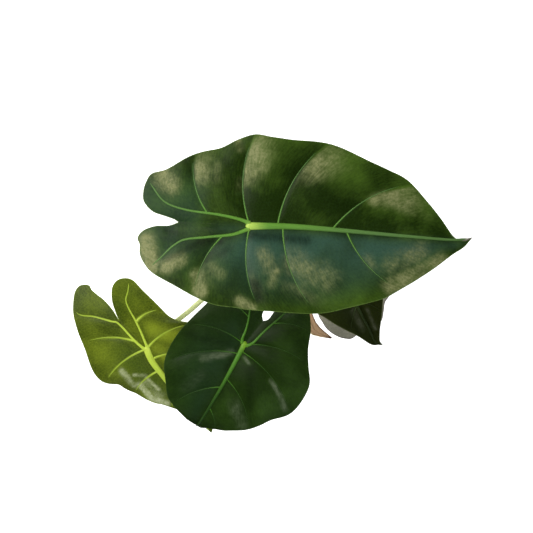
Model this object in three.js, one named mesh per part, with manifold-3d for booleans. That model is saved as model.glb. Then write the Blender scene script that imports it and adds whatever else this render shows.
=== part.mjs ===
import * as THREE from 'three';
import Module from 'manifold-3d';

const wasm = await Module();
wasm.setup();

// Sizes are in millimetres and angles in degrees. The origin is the middle of the pot's underside.

// Clear space between parts that touch
const GAP = 0.3;

// Pot, as radius and height pairs from the middle of the underside round the wall to the inside floor
const POT_PROFILE = [
  [0, 0], [42, 0], [44, 2], [56.3, 94], [57.2, 96], [59.8, 97.2], [60.5, 108.4], [59.6, 110],
  [58.4, 110], [57.6, 108.6], [57.2, 98], [54.6, 94], [42.4, 5], [40.6, 3], [0, 3],
];
const POT_SIDES = 40;
const DRAIN_HOLES = 6;
const DRAIN_HOLE_RADIUS = 4;
const DRAIN_HOLE_CIRCLE = 29;
const DRAIN_HOLE_SIDES = 12;
const DRAIN_HOLE_ENDS = [-1, 4.5];

// Soil, which fills the pot to just under the rim band
const SOIL_BOTTOM = 3.3;
const SOIL_TOP = 96.5;
const SOIL_RADIUS = 55.3;
const SOIL_PROFILE = [[40.4, SOIL_BOTTOM], [42, 5.2], [54.2, 94], [SOIL_RADIUS, 96]];
const SOIL_SIDES = 36;
const SOIL_RINGS = 6;

// Soft bumps in the soil's top: height, waves in one turn, and twist for each millimetre outwards
const SOIL_BUMPS = [[0.9, 3, 0.4], [0.54, 7, -0.7]];

// Short woody stem base that the leaf stalks stand around
const STEM_BASE_PROFILE = [
  [0, 82], [6.4, 82], [7.6, 90], [7, 97], [7.5, 98.5], [6.4, 103], [6.8, 104.2], [5.2, 108.4], [2.4, 110],
  [0, 110.2],
];
const STEM_BASE_SIDES = 20;
const FOOT_CIRCLE = 14;
const FOOT_DEPTH = 76;
const FOOT_TOP = 100.5;

// Leaf blades
const BLADE_THICKNESS = 0.9;
const BLADE_COLUMNS = 3;
const ROW_STEP = 11.5;
const ROW_BOW = 0.2;
const WEB_ROWS = 5;
const LOBE_ROWS = 6;
const MARGIN_WAVE = 1.3;
const MARGIN_WAVES = 3.5;
const FINE = 600;

// The tissue between veins bulges fully where its rows are this long, and half as much beside the notch
const FULL_BULGE_LENGTH = 40;
const NOTCH_BULGE = 0.5;
const NOTCH_BULGE_LENGTH = 25;

// How far along the midrib its curve is worked out, behind and ahead of the stalk
const RUN_START = -120;
const RUN_END = 220;

// Raised pale ribs on top of the blades, each pair from its thick end to its thin end
const RIB_EDGE = 0.25;
const MIDRIB_HEIGHT = [1.5, 0.7];
const MIDRIB_WIDTH_SHARE = [1, 0.25];
const LOBE_RIB_HEIGHT = [1.1, 0.6];
const LOBE_RIB_WIDTH_SHARE = [0.45, 0.18];
const VEIN_WIDTH = [1.9, 0.8];
const VEIN_HEIGHT = [0.6, 0.3];
const VEIN_LIFT = 0.1;

// The most of a row's length that half a rib covers, and of a gap between rows that half a vein covers
const MOST_RIB_SHARE = 0.4;
const MOST_VEIN_SHARE = 0.45;

// Each blade is drawn flat first. The first number runs along the midrib from the stalk to the tip and
// the second across it. The arch gives the midrib's slope down at points along it, and the cup gives
// how much each half curls down for every 100 mm of its width.
const LEAVES = [
  {
    name: 'leaf_1', hub: [-29.6, 2.9, 345], yaw: -4, roll: 0, rise: 8, size: 1,
    arch: [[-85, -5], [0, 2], [100, 9], [172, 20]], cupLeft: [[0, 14]], cupRight: [[0, 14]],
    midrib: [[40, 2], [116, 1], [160, 1]], tip: [177, 4], notch: [-55, -1], bulge: 2.2, ribWidth: 7,
    left: {
      lobeEnd: [-81, 31], rib: [[-8, 4], [-24, 7], [-49, 9], [-66, 14], [-76, 25]], hubVein: [-2, 70],
      outline: [
        [171, 1], [165, 1.5], [159, 5], [148, 17], [136, 29], [119, 44], [102, 51], [88, 56], [65, 65],
        [49, 68], [28, 68], [12, 69], [-1, 70], [-14, 65], [-26, 58], [-40, 54], [-51, 49], [-66, 39],
        [-77, 35], [-81, 29], [-83, 21], [-82, 13], [-75, 6], [-65, 3], [-58, 1],
      ],
      veins: [[21, [54, 68]], [63, [122, 41]]], backVeins: [[-33, [-46, 52]]],
    },
    right: {
      lobeEnd: [-75, -38], rib: [[-12, -7], [-33, -11], [-49, -14], [-58, -20], [-66, -29]],
      hubVein: [12, -64],
      outline: [
        [172, -2.5], [167, -6.5], [160, -11], [145, -23], [131, -33], [117, -42], [107, -48], [93, -53],
        [77, -58], [64, -62], [48, -64], [20, -64], [3, -64], [-8, -63], [-23, -62], [-38, -57],
        [-53, -50], [-70, -42], [-77, -36], [-82, -28], [-83, -20], [-85, -15], [-81, -9], [-72, -5],
        [-62, -4],
      ],
      veins: [[25, [56, -63]], [74, [119, -41]]], backVeins: [[-20, [-38, -56]]],
    },
  },
  {
    name: 'leaf_2', hub: [-35.4, -92.6, 250], yaw: -119, roll: 3, rise: 8, size: 0.9,
    arch: [[-70, 2], [0, 7], [62, 24], [105, 86], [150, 90]], cupLeft: [[0, 16]], cupRight: [[0, 16]],
    midrib: [[38, 1], [80, 1]], tip: [117, 1], notch: [-25, 4], bulge: 1.6, ribWidth: 5,
    left: {
      lobeEnd: [-61, 22], rib: [[-5, 5], [-18, 9], [-38, 16], [-52, 20]], hubVein: [-11, 54],
      outline: [
        [109, 3], [102, 4], [94, 6], [89, 9], [83, 15], [78, 22], [72, 28], [63, 38], [54, 45], [45, 51],
        [36, 60], [27, 64], [13, 65], [1, 63], [-11, 55], [-23, 48], [-38, 42], [-50, 34], [-59, 27],
        [-62, 18], [-56, 11], [-46, 8], [-35, 8], [-28, 7],
      ],
      veins: [[6, [32, 62]], [33, [62, 39]], [64, [83, 15]]], backVeins: [[-27, [-36, 43]]],
    },
    right: {
      lobeEnd: [-56, -22], rib: [[-4, -3], [-13, -5], [-25, -9], [-40, -16]], hubVein: [8, -51],
      outline: [
        [109, -1], [102, -1], [96, -6], [92, -11], [87, -17], [82, -24], [75, -32], [68, -37], [60, -42],
        [48, -50], [36, -53], [20, -53], [4, -50], [-16, -44], [-30, -40], [-43, -35], [-53, -28],
        [-57, -19], [-54, -10], [-45, -4], [-35, 0], [-29, 1],
      ],
      veins: [[9, [46, -51]], [42, [79, -28]]], backVeins: [[-22, [-22, -43]]],
    },
  },
  {
    name: 'leaf_3', hub: [-121.1, -99.6, 190], yaw: -54, roll: -20, rise: 10, size: 0.8,
    arch: [[-70, -5], [0, 12], [60, 30], [110, 44]], cupLeft: [[-60, 20], [110, 30]],
    cupRight: [[-60, 0], [0, 30], [30, 80], [110, 60]],
    midrib: [[12, -4], [34, -7], [70, -13]], tip: [109, -21], notch: [-35, -3], bulge: 1.3, ribWidth: 6,
    left: {
      lobeEnd: [-57, 29], rib: [[-13, 6], [-26, 10], [-37, 12], [-45, 15], [-50, 22]], hubVein: [5, 50],
      outline: [
        [105, -16], [97, -6], [84, 9], [68, 24], [50, 38], [32, 47], [16, 52], [4, 50], [-5, 42], [-12, 38],
        [-19, 37], [-31, 36], [-43, 34], [-55, 32], [-61, 26], [-63, 18], [-60, 10], [-52, 3], [-43, -1],
      ],
      veins: [[10, [38, 45]], [36, [70, 24]]], backVeins: [[-25, [-20, 34]]],
    },
    right: {
      lobeEnd: [-66, -31], rib: [[-11, -3], [-32, -5], [-38, -9], [-50, -19], [-58, -28]], hubVein: [2, -50],
      outline: [
        [103, -20], [96, -19], [86, -19], [74, -20], [66, -22], [58, -25], [51, -28], [46, -32], [36, -38],
        [26, -43], [19, -45], [12, -45], [8, -48], [4, -51], [-2, -53], [-10, -53], [-20, -50], [-34, -44],
        [-51, -38], [-64, -32], [-76, -22], [-79, -14], [-75, -7], [-70, -7], [-64, -5.5], [-56, -3],
        [-45, -2],
      ],
      veins: [[22, [28, -41]], [46, [62, -26]]], backVeins: [[-11, [-38, -43]]],
    },
  },
  {
    name: 'leaf_4', hub: [38, -24, 280], yaw: -60, roll: 0, rise: 8, size: 0.8,
    arch: [[-45, 15], [0, 28], [60, 45], [118, 62]], cupLeft: [[0, 20]], cupRight: [[0, 20]],
    midrib: [[52, -1], [82, -1], [112, -1]], tip: [122, 4], notch: [-28, 0], bulge: 1.3, ribWidth: 4.6,
    left: {
      lobeEnd: [-46, 24], rib: [[-14, 6], [-28, 11], [-39, 18]], hubVein: [4, 41],
      outline: [
        [112, 3], [98, 6], [87, 10], [76, 14], [58, 20], [42, 28], [26, 36], [10, 41], [-6, 41], [-22, 37],
        [-38, 30], [-47, 22], [-48, 13], [-42, 6], [-34, 2],
      ],
      veins: [[16, [38, 32]], [46, [73, 16]]], backVeins: [[-20, [-22, 37]]],
    },
    right: {
      lobeEnd: [-46, -25], rib: [[-14, -6], [-28, -11], [-39, -18]], hubVein: [6, -43],
      outline: [
        [112, -4], [90, -11], [67, -19], [53, -25], [39, -31], [24, -38], [10, -43], [-6, -43], [-22, -38],
        [-38, -31], [-47, -23], [-48, -14], [-42, -6], [-34, -2],
      ],
      veins: [[20, [42, -30]], [50, [78, -15]]], backVeins: [[-22, [-22, -38]]],
    },
  },
  {
    name: 'leaf_5', hub: [56, -60, 172], yaw: -65, roll: 0, rise: 8, size: 0.75,
    arch: [[-45, 138], [0, 116], [30, 96], [95, 82]], cupLeft: [[0, 20]], cupRight: [[0, 20]],
    midrib: [[30, 1], [60, 1]], tip: [92, -1], notch: [-26, 0], bulge: 1.1, ribWidth: 4.2,
    left: {
      lobeEnd: [-43, 14], rib: [[-13, 5], [-26, 9], [-37, 12]], hubVein: [6, 35],
      outline: [
        [84, 6], [68, 15], [50, 24], [32, 31], [12, 35], [-4, 36], [-14, 34], [-20, 28], [-30, 23], [-39, 18],
        [-44, 11], [-41, 4], [-33, 1],
      ],
      veins: [[15, [36, 29]], [40, [62, 18]]], backVeins: [[-19, [-22, 27]]],
    },
    right: {
      lobeEnd: [-43, -14], rib: [[-13, -5], [-26, -9], [-36, -12]], hubVein: [4, -29],
      outline: [
        [84, -6], [68, -12], [50, -19], [32, -25], [12, -29], [-4, -29], [-20, -28], [-33, -23], [-41, -17],
        [-44, -11], [-41, -4], [-33, -1],
      ],
      veins: [[18, [38, -25]], [43, [64, -15]]], backVeins: [[-21, [-22, -28]]],
    },
  },
];

// Leaf stalks: where each foot stands round the stem base, and points that the stalk bends through
const STALK_SIDES = 8;
const STALK_RINGS = 16;
const SMALLEST_STALK = 0.5;
const STALK_NECK = [16, 2];
const STALK_RADII = [[0, 4.7], [0.12, 4.3], [0.3, 3.1], [0.55, 2.7], [1, 2.3]];
const STALKS = {
  leaf_1: { footAngle: 150, through: [[-19, 4, 180], [-28, 4, 270]] },
  leaf_2: { footAngle: -113, through: [[-9, -32, 150], [-26, -70, 215]] },
  leaf_3: { footAngle: -160, through: [[-42, -27, 131], [-85, -67, 163]] },
  leaf_4: { footAngle: 32, through: [[21, -2, 170], [30, -14, 235]] },
  leaf_5: { footAngle: -27, through: [[22, -22, 140], [33, -38, 172]] },
};

// Knob where a stalk meets its blade, as shares of its radius and heights along the stalk
const HEAD_RADIUS = 3.9;
const HEAD_PROFILE = [[0, -11], [0.5, -10], [1, -3], [1, 0.9], [0.75, 1.7], [0, 2]];
const HEAD_SIDES = 12;
const HEAD_HOLE_REACH = 8;

// Dry papery sheath that once wrapped a young leaf, drawn flat like the blades
const SHEATH = {
  hub: [4.8, -13.2, 82], yaw: -73, roll: 0, rise: 14,
  arch: [[0, -80], [48, -60], [86, -20], [128, 8]], cupLeft: [[0, 60]], cupRight: [[0, 60]],
  rows: [
    [0, -4, 4], [14, -4.5, 4.5], [30, -5, 5], [50, -5, 5], [70, -5, 4], [86, -5, 2], [100, -5.5, 1.5],
    [110, -6.5, 2.5], [116, -6.5, 5], [120, -4, 7.5], [123.5, 2, 10], [127.5, 11, 12.5],
  ],
  thickness: 0.7,
};

const COLOURS = {
  leafGreen: { color: 0x2c4018, roughness: 0.42, metalness: 0 },
  youngLeaf: { color: 0x5c691e, roughness: 0.45, metalness: 0 },
  stalk: { color: 0x8fb04a, roughness: 0.5, metalness: 0 },
  youngStalk: { color: 0xb7ca58, roughness: 0.5, metalness: 0 },
  pot: { color: 0x2f3134, roughness: 0.6, metalness: 0 },
  soil: { color: 0x35261c, roughness: 0.95, metalness: 0 },
  stemBase: { color: 0x6a5440, roughness: 0.85, metalness: 0 },
  sheath: { color: 0xb4926f, roughness: 0.8, metalness: 0 },
};

const radians = THREE.MathUtils.degToRad;

// Value at x on a line drawn through pairs
function interpolate(pairs, x) {
  if (x <= pairs[0][0]) return pairs[0][1];
  for (let i = 1; i < pairs.length; i += 1) {
    const [x0, y0] = pairs[i - 1];
    const [x1, y1] = pairs[i];
    if (x <= x1) return y0 + (y1 - y0) * (x - x0) / (x1 - x0);
  }
  return pairs[pairs.length - 1][1];
}

// Evenly spaced flat points on a rounded line through the given ones
function roundedLine(points) {
  const spline = new THREE.SplineCurve(points.map(([a, b]) => new THREE.Vector2(a, b)));
  spline.arcLengthDivisions = FINE * 2;
  return spline.getSpacedPoints(FINE);
}

// Index of the point on a line that lies nearest to a flat place
function nearestIndex(line, a, b) {
  let best = 0;
  line.forEach((point, i) => {
    const distance = Math.hypot(point.x - a, point.y - b);
    if (distance < Math.hypot(line[best].x - a, line[best].y - b)) best = i;
  });
  return best;
}

function pointAt(line, fraction) {
  const place = THREE.MathUtils.clamp(fraction, 0, 1) * (line.length - 1);
  const i = Math.min(Math.floor(place), line.length - 2);
  return line[i].clone().lerp(line[i + 1], place - i);
}

function makeSolid(points, faces) {
  const mesh = new wasm.Mesh({
    numProp: 3,
    vertProperties: Float32Array.from(points.flatMap((p) => [p.x, p.y, p.z])),
    triVerts: Uint32Array.from(faces.flat()),
  });
  return new wasm.Manifold(mesh);
}

// Solid turned about an upright axis from radius and height pairs, which start and end on the axis
function turned(profile, sides) {
  const points = [new THREE.Vector3(0, 0, profile[0][1])];
  const rings = profile.slice(1, -1);
  rings.forEach(([radius, height]) => {
    for (let k = 0; k < sides; k += 1) {
      const angle = 2 * Math.PI * k / sides;
      points.push(new THREE.Vector3(radius * Math.cos(angle), radius * Math.sin(angle), height));
    }
  });
  points.push(new THREE.Vector3(0, 0, profile[profile.length - 1][1]));
  const last = points.length - 1;
  const at = (ring, k) => 1 + ring * sides + (k % sides);
  const faces = [];
  for (let k = 0; k < sides; k += 1) {
    faces.push([0, at(0, k + 1), at(0, k)]);
    for (let ring = 0; ring < rings.length - 1; ring += 1) {
      faces.push([at(ring, k), at(ring, k + 1), at(ring + 1, k + 1)]);
      faces.push([at(ring, k), at(ring + 1, k + 1), at(ring + 1, k)]);
    }
    faces.push([last, at(rings.length - 1, k), at(rings.length - 1, k + 1)]);
  }
  return makeSolid(points, faces);
}

// Solid that joins rings of points, with flat ends
function joinedRings(rings) {
  const count = rings[0].length;
  const points = rings.flat();
  const at = (ring, k) => ring * count + (k % count);
  const faces = [];
  for (let ring = 0; ring < rings.length - 1; ring += 1) {
    for (let k = 0; k < count; k += 1) {
      faces.push([at(ring, k), at(ring, k + 1), at(ring + 1, k + 1)]);
      faces.push([at(ring, k), at(ring + 1, k + 1), at(ring + 1, k)]);
    }
  }
  for (let k = 1; k < count - 1; k += 1) {
    faces.push([at(0, 0), at(0, k + 1), at(0, k)]);
    faces.push([at(rings.length - 1, 0), at(rings.length - 1, k), at(rings.length - 1, k + 1)]);
  }
  return makeSolid(points, faces);
}

function union(solids) {
  return solids.reduce((sum, solid) => sum.add(solid));
}

// The body itself, without specks of space closed in where ribs meet
function mainBody(solid) {
  return solid.decompose().reduce((best, piece) => (piece.volume() > best.volume() ? piece : best));
}

// Places a flat point with a height above the blade into the part
function posed(leaf) {
  const run = [];
  for (let a = RUN_START, x = 0, z = 0; a <= RUN_END; a += 1) {
    run.push({ x, z });
    const slope = radians(interpolate(leaf.arch, a + 0.5));
    x += Math.cos(slope);
    z -= Math.sin(slope);
  }
  const start = run[-RUN_START];
  const axisZ = new THREE.Vector3(0, 0, 1);
  const axisX = new THREE.Vector3(1, 0, 0);
  return (a, b, height) => {
    const i = Math.floor(a) - RUN_START;
    const part = a - Math.floor(a);
    const x = THREE.MathUtils.lerp(run[i].x, run[i + 1].x, part) - start.x;
    const z = THREE.MathUtils.lerp(run[i].z, run[i + 1].z, part) - start.z;
    const slope = radians(interpolate(leaf.arch, a));
    const rise = radians(leaf.rise);
    const curl = Math.max(radians(interpolate(b >= 0 ? leaf.cupLeft : leaf.cupRight, a)) / 100, 1e-6);
    const across = Math.sign(b) * (Math.sin(rise) - Math.sin(rise - curl * Math.abs(b))) / curl;
    const up = (Math.cos(rise - curl * Math.abs(b)) - Math.cos(rise)) / curl + height;
    const place = new THREE.Vector3(x + up * Math.sin(slope), across, z + up * Math.cos(slope));
    place.applyAxisAngle(axisX, -radians(leaf.roll)).applyAxisAngle(axisZ, radians(leaf.yaw));
    return place.add(new THREE.Vector3(...leaf.hub));
  };
}

function nearestOnRib(line, a) {
  let best = 0;
  line.forEach((point, i) => {
    if (Math.abs(point.x - a) < Math.abs(line[best].x - a)) best = i;
  });
  return best / (line.length - 1);
}

// Lines of one half blade, and the places where its veins leave the ribs and where they end on the margin
function halfLines(leaf, side, midrib) {
  const half = leaf[side];
  const outline = roundedLine([leaf.tip, ...half.outline, leaf.notch]);
  const end = nearestIndex(outline, ...half.lobeEnd);
  const margin = outline.slice(0, end + 1).reverse();
  const inner = outline.slice(end).reverse();
  const rib = roundedLine([[0, 0], ...half.rib, [outline[end].x, outline[end].y]]);
  const onMargin = ([a, b]) => nearestIndex(margin, a, b) / (margin.length - 1);
  const hubMargin = onMargin(half.hubVein);
  const frontVeins = half.veins.map(([a, at]) => [nearestOnRib(midrib, a), onMargin(at)]);
  const frontKnots = [[0, hubMargin], ...frontVeins, [1, 1]];
  const marginLength = margin.reduce((sum, point, i) => sum + (i ? point.distanceTo(margin[i - 1]) : 0), 0);
  return { half, margin, inner, rib, onMargin, hubMargin, frontVeins, frontKnots, marginLength };
}

// Stations along the midrib, at every side vein, with others between them as the margins need
function midribStations(leaf, sides) {
  const veins = sides.flatMap(({ frontVeins }) => frontVeins.map(([place]) => place));
  const knots = [0, ...veins.sort((p, q) => p - q), 1];
  const stations = [0];
  for (let k = 1; k < knots.length; k += 1) {
    const [from, to] = [knots[k - 1], knots[k]];
    const lengths = sides.map(({ frontKnots, marginLength }) => (
      (interpolate(frontKnots, to) - interpolate(frontKnots, from)) * marginLength));
    const pieces = Math.max(1, Math.round(Math.max(...lengths) / ROW_STEP));
    for (let i = 1; i <= pieces; i += 1) stations.push(from + (to - from) * i / pieces);
  }
  return stations;
}

// Rows of one half blade, from the end of its lobe past the stalk to the tip
function halfRows(leaf, lines, midrib, stations) {
  const { half, margin, inner, rib, onMargin, hubMargin, frontVeins, frontKnots } = lines;
  const backVeins = half.backVeins.map(([a, at]) => [nearestOnRib(rib, a), onMargin(at)]);
  const backKnots = [[0, hubMargin], ...backVeins, [1, 0]];
  const web = nearestOnRib(rib, leaf.notch[0]);
  const byMargin = backKnots.map(([place, along]) => [along, place]).reverse();
  const webMargin = interpolate(backKnots, web);
  const back = [];
  for (let i = 0; i <= WEB_ROWS; i += 1) {
    back.push(interpolate(byMargin, THREE.MathUtils.lerp(hubMargin, webMargin, i / WEB_ROWS)));
  }
  for (let i = 1; i <= LOBE_ROWS; i += 1) {
    back.push(interpolate(byMargin, THREE.MathUtils.lerp(webMargin, 0, i / LOBE_ROWS)));
  }
  const veinRows = backVeins.map(([place]) => {
    const gaps = back.map((value, i) => (i === 0 || i === back.length - 1 ? 2 : Math.abs(value - place)));
    const row = gaps.indexOf(Math.min(...gaps));
    back[row] = place;
    return row;
  });

  const rows = [];
  for (let i = back.length - 1; i > 0; i -= 1) {
    const inWeb = i <= WEB_ROWS;
    const centre = new THREE.Vector2(...leaf.notch).multiplyScalar(i / WEB_ROWS);
    rows.push({
      rib: pointAt(rib, back[i]),
      margin: pointAt(margin, interpolate(backKnots, back[i])),
      inner: inWeb ? centre : pointAt(inner, (i - WEB_ROWS) / LOBE_ROWS),
      along: interpolate(backKnots, back[i]),
      vein: veinRows.includes(i),
      swell: swell(backKnots.map(([place]) => place), back[i]),
      ribWidth: leaf.ribWidth * THREE.MathUtils.lerp(...LOBE_RIB_WIDTH_SHARE, back[i]),
    });
  }
  const hubRow = rows.length;
  stations.forEach((station, i) => {
    rows.push({
      rib: pointAt(midrib, station),
      margin: pointAt(margin, interpolate(frontKnots, station)),
      inner: i === 0 ? new THREE.Vector2(0, 0) : null,
      along: interpolate(frontKnots, station),
      vein: i === 0 || frontVeins.some(([place]) => Math.abs(place - station) < 1e-9),
      swell: swell(frontKnots.map(([place]) => place), station),
      ribWidth: leaf.ribWidth * THREE.MathUtils.lerp(...MIDRIB_WIDTH_SHARE, Math.sqrt(station)),
    });
  });
  return { rows, hubRow };
}

// How far a row stands up between its two neighbouring veins, from 0 at a vein to 1 midway
function swell(places, at) {
  for (let k = 1; k < places.length; k += 1) {
    if (at <= places[k]) return Math.sin(Math.PI * (at - places[k - 1]) / (places[k] - places[k - 1]));
  }
  return 0;
}

// How far along a row its first column stands, at the edge of the rib
function ribShare(row, length) {
  return length > 0 ? Math.min(MOST_RIB_SHARE, row.ribWidth / 2 / length) : MOST_RIB_SHARE;
}

// Middle surface of a blade: its points, faces, upright directions and the grid that the ribs follow
function bladeSurface(leaf) {
  const place = posed(leaf);
  const points = [];
  const known = new Map();
  const add = (flat, height) => {
    const key = `${flat.x.toFixed(3)} ${flat.y.toFixed(3)}`;
    if (!known.has(key)) {
      known.set(key, points.length);
      points.push(place(flat.x, flat.y, height));
    }
    return known.get(key);
  };
  const faces = [];
  const addStrip = (grid, flip) => {
    for (let i = 0; i < grid.length - 1; i += 1) {
      for (let j = 0; j < grid[i].length - 1; j += 1) {
        const [p, q, r, s] = [grid[i][j], grid[i + 1][j], grid[i + 1][j + 1], grid[i][j + 1]];
        [[p, q, r], [p, r, s]].forEach((face) => {
          if (new Set(face).size === 3) faces.push(flip ? face.reverse() : face);
        });
      }
    }
  };

  const midrib = roundedLine([[0, 0], ...leaf.midrib, leaf.tip]);
  const lines = { left: halfLines(leaf, 'left', midrib), right: halfLines(leaf, 'right', midrib) };
  const stations = midribStations(leaf, [lines.left, lines.right]);
  const grids = {};
  [['left', 1], ['right', -1]].forEach(([side, sign]) => {
    const { rows, hubRow } = halfRows(leaf, lines[side], midrib, stations);
    const outer = rows.map((row) => {
      const chord = row.margin.clone().sub(row.rib);
      const length = chord.length();
      const bend = new THREE.Vector2(-chord.y, chord.x).multiplyScalar(sign * ROW_BOW);
      const pull = row.rib.clone().add(row.margin).multiplyScalar(0.5).add(bend);
      const first = ribShare(row, length);
      const steady = Math.sin(Math.PI * row.along);
      const wave = MARGIN_WAVE * steady * Math.sin(2 * Math.PI * MARGIN_WAVES * row.along);
      const fullness = leaf.bulge * row.swell * Math.min(1, length / FULL_BULGE_LENGTH);
      const columns = [0];
      for (let j = 0; j <= BLADE_COLUMNS; j += 1) columns.push(first + (1 - first) * j / BLADE_COLUMNS);
      return columns.map((t) => {
        const flat = row.rib.clone().multiplyScalar((1 - t) ** 2)
          .add(pull.clone().multiplyScalar(2 * t * (1 - t))).add(row.margin.clone().multiplyScalar(t * t));
        return add(flat, fullness * Math.sin(Math.PI * t) + wave * t * t);
      });
    });
    const web = rows.slice(0, hubRow + 1).map((row) => {
      const chord = row.inner.clone().sub(row.rib);
      const length = chord.length();
      const first = ribShare(row, length);
      const fullness = NOTCH_BULGE * leaf.bulge * Math.min(1, length / NOTCH_BULGE_LENGTH);
      return [0, first, (1 + first) / 2, 1].map((t) => {
        return add(row.rib.clone().add(chord.clone().multiplyScalar(t)), fullness * Math.sin(Math.PI * t));
      });
    });
    addStrip(outer, side === 'right');
    addStrip(web, side === 'left');
    grids[side] = { outer, web, rows, hubRow };
  });

  const ups = points.map(() => new THREE.Vector3());
  faces.forEach((face) => {
    const [p, q, r] = face.map((i) => points[i]);
    const up = q.clone().sub(p).cross(r.clone().sub(p));
    face.forEach((i) => ups[i].add(up));
  });
  ups.forEach((up) => up.normalize());
  return { points, faces, ups, grids };
}

// Thin solid on both sides of a surface, closed along its open edges
function thickened({ points, faces, ups }, thickness) {
  const count = points.length;
  const top = points.map((point, i) => point.clone().addScaledVector(ups[i], thickness / 2));
  const bottom = points.map((point, i) => point.clone().addScaledVector(ups[i], -thickness / 2));
  const edges = new Set(faces.flatMap(([p, q, r]) => [`${p} ${q}`, `${q} ${r}`, `${r} ${p}`]));
  const rim = [];
  edges.forEach((edge) => {
    const [p, q] = edge.split(' ').map(Number);
    if (!edges.has(`${q} ${p}`)) rim.push([q, p, p + count], [q, p + count, q + count]);
  });
  const under = faces.map(([p, q, r]) => [r + count, q + count, p + count]);
  return makeSolid([...top, ...bottom], [...faces, ...under, ...rim]);
}

// Raised ribs: the midrib, the rib of each lobe and the side veins, all just clear of the blade
function ribSolids(leaf, surface) {
  const { points, ups, grids } = surface;
  const bed = BLADE_THICKNESS / 2 + GAP;
  const sample = (i) => ({ point: points[i], up: ups[i] });
  const between = (from, to, distance) => {
    const fraction = Math.min(MOST_VEIN_SHARE, distance / points[from].distanceTo(points[to]));
    return {
      point: points[from].clone().lerp(points[to], fraction),
      up: ups[from].clone().lerp(ups[to], fraction).normalize(),
    };
  };
  const lifted = ({ point, up }, height) => point.clone().addScaledVector(up, height);
  const ring = (leftEdge, centre, rightEdge, low, height) => [
    lifted(rightEdge, low), lifted(centre, low), lifted(leftEdge, low),
    lifted(leftEdge, low + RIB_EDGE), lifted(centre, low + height), lifted(rightEdge, low + RIB_EDGE),
  ];
  const veinRing = (leftEdge, centre, rightEdge, low, height) => [
    lifted(rightEdge, low), lifted(centre, low), lifted(leftEdge, low), lifted(centre, low + height),
  ];
  const solids = [];

  const { left, right } = grids;
  const midribRings = [];
  const midribRows = left.outer.length - left.hubRow;
  for (let i = 0; i < midribRows - 1; i += 1) {
    const leftRow = left.outer[left.hubRow + i];
    const rightRow = right.outer[right.hubRow + i];
    const height = THREE.MathUtils.lerp(...MIDRIB_HEIGHT, i / midribRows) * leaf.size;
    midribRings.push(ring(sample(leftRow[1]), sample(leftRow[0]), sample(rightRow[1]), bed, height));
  }
  solids.push(joinedRings(midribRings));

  [['left', left], ['right', right]].forEach(([side, grid]) => {
    const lobeRings = [];
    for (let i = 2; i <= grid.hubRow; i += 1) {
      const centre = sample(grid.outer[i][0]);
      const outside = sample(grid.outer[i][1]);
      const atHub = i === grid.hubRow;
      const mirrored = { point: centre.point.clone().multiplyScalar(2).sub(outside.point), up: centre.up };
      const inside = atHub ? mirrored : sample(grid.web[i][1]);
      const height = THREE.MathUtils.lerp(...LOBE_RIB_HEIGHT, 1 - i / grid.hubRow) * leaf.size;
      const edges = side === 'left' ? [outside, centre, inside] : [inside, centre, outside];
      lobeRings.push(ring(...edges, bed, height));
    }
    solids.push(joinedRings(lobeRings));

    grid.rows.forEach((row, i) => {
      if (!row.vein) return;
      const columns = grid.outer[i].slice(0, -1);
      const veinRings = columns.map((index, j) => {
        const part = j / (columns.length - 1);
        const halfWidth = THREE.MathUtils.lerp(...VEIN_WIDTH, part) * leaf.size / 2;
        const ahead = between(index, grid.outer[i + 1][j], halfWidth);
        const behind = between(index, grid.outer[i - 1][j], halfWidth);
        const edges = side === 'left' ? [behind, sample(index), ahead] : [ahead, sample(index), behind];
        return veinRing(...edges, bed + VEIN_LIFT, THREE.MathUtils.lerp(...VEIN_HEIGHT, part));
      });
      solids.push(joinedRings(veinRings));
    });
  });
  return solids;
}

// Matrix that stands a turned solid on the blade where the stalk meets it
function hubMatrix(leaf, surface) {
  const hub = new THREE.Vector3(...leaf.hub);
  const nearest = surface.points.reduce((best, point, i) => (
    point.distanceTo(hub) < surface.points[best].distanceTo(hub) ? i : best), 0);
  const up = surface.ups[nearest];
  const turn = new THREE.Quaternion().setFromUnitVectors(new THREE.Vector3(0, 0, 1), up);
  return { matrix: new THREE.Matrix4().compose(hub, turn, new THREE.Vector3(1, 1, 1)), up };
}

function footPoint(angle, height) {
  return new THREE.Vector3(
    FOOT_CIRCLE * Math.cos(radians(angle)), FOOT_CIRCLE * Math.sin(radians(angle)), height);
}

// Round stalk from its foot in the soil up to the underside of its blade
function stalkTube(leaf, up, extra) {
  const { footAngle, through } = STALKS[leaf.name];
  const hub = new THREE.Vector3(...leaf.hub);
  const curve = new THREE.CatmullRomCurve3([
    footPoint(footAngle, FOOT_DEPTH - extra), footPoint(footAngle, FOOT_TOP),
    ...through.map((point) => new THREE.Vector3(...point)),
    ...STALK_NECK.map((below) => hub.clone().addScaledVector(up, -below)),
  ]);
  const frames = curve.computeFrenetFrames(STALK_RINGS, false);
  const scale = THREE.MathUtils.lerp(SMALLEST_STALK, 1, leaf.size);
  const rings = curve.getSpacedPoints(STALK_RINGS).map((centre, i) => {
    const radius = interpolate(STALK_RADII, i / STALK_RINGS) * scale + extra;
    const ring = [];
    for (let k = 0; k < STALK_SIDES; k += 1) {
      const angle = 2 * Math.PI * k / STALK_SIDES;
      ring.push(centre.clone().addScaledVector(frames.normals[i], radius * Math.cos(angle))
        .addScaledVector(frames.binormals[i], radius * Math.sin(angle)));
    }
    return ring;
  });
  return joinedRings(rings);
}

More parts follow.
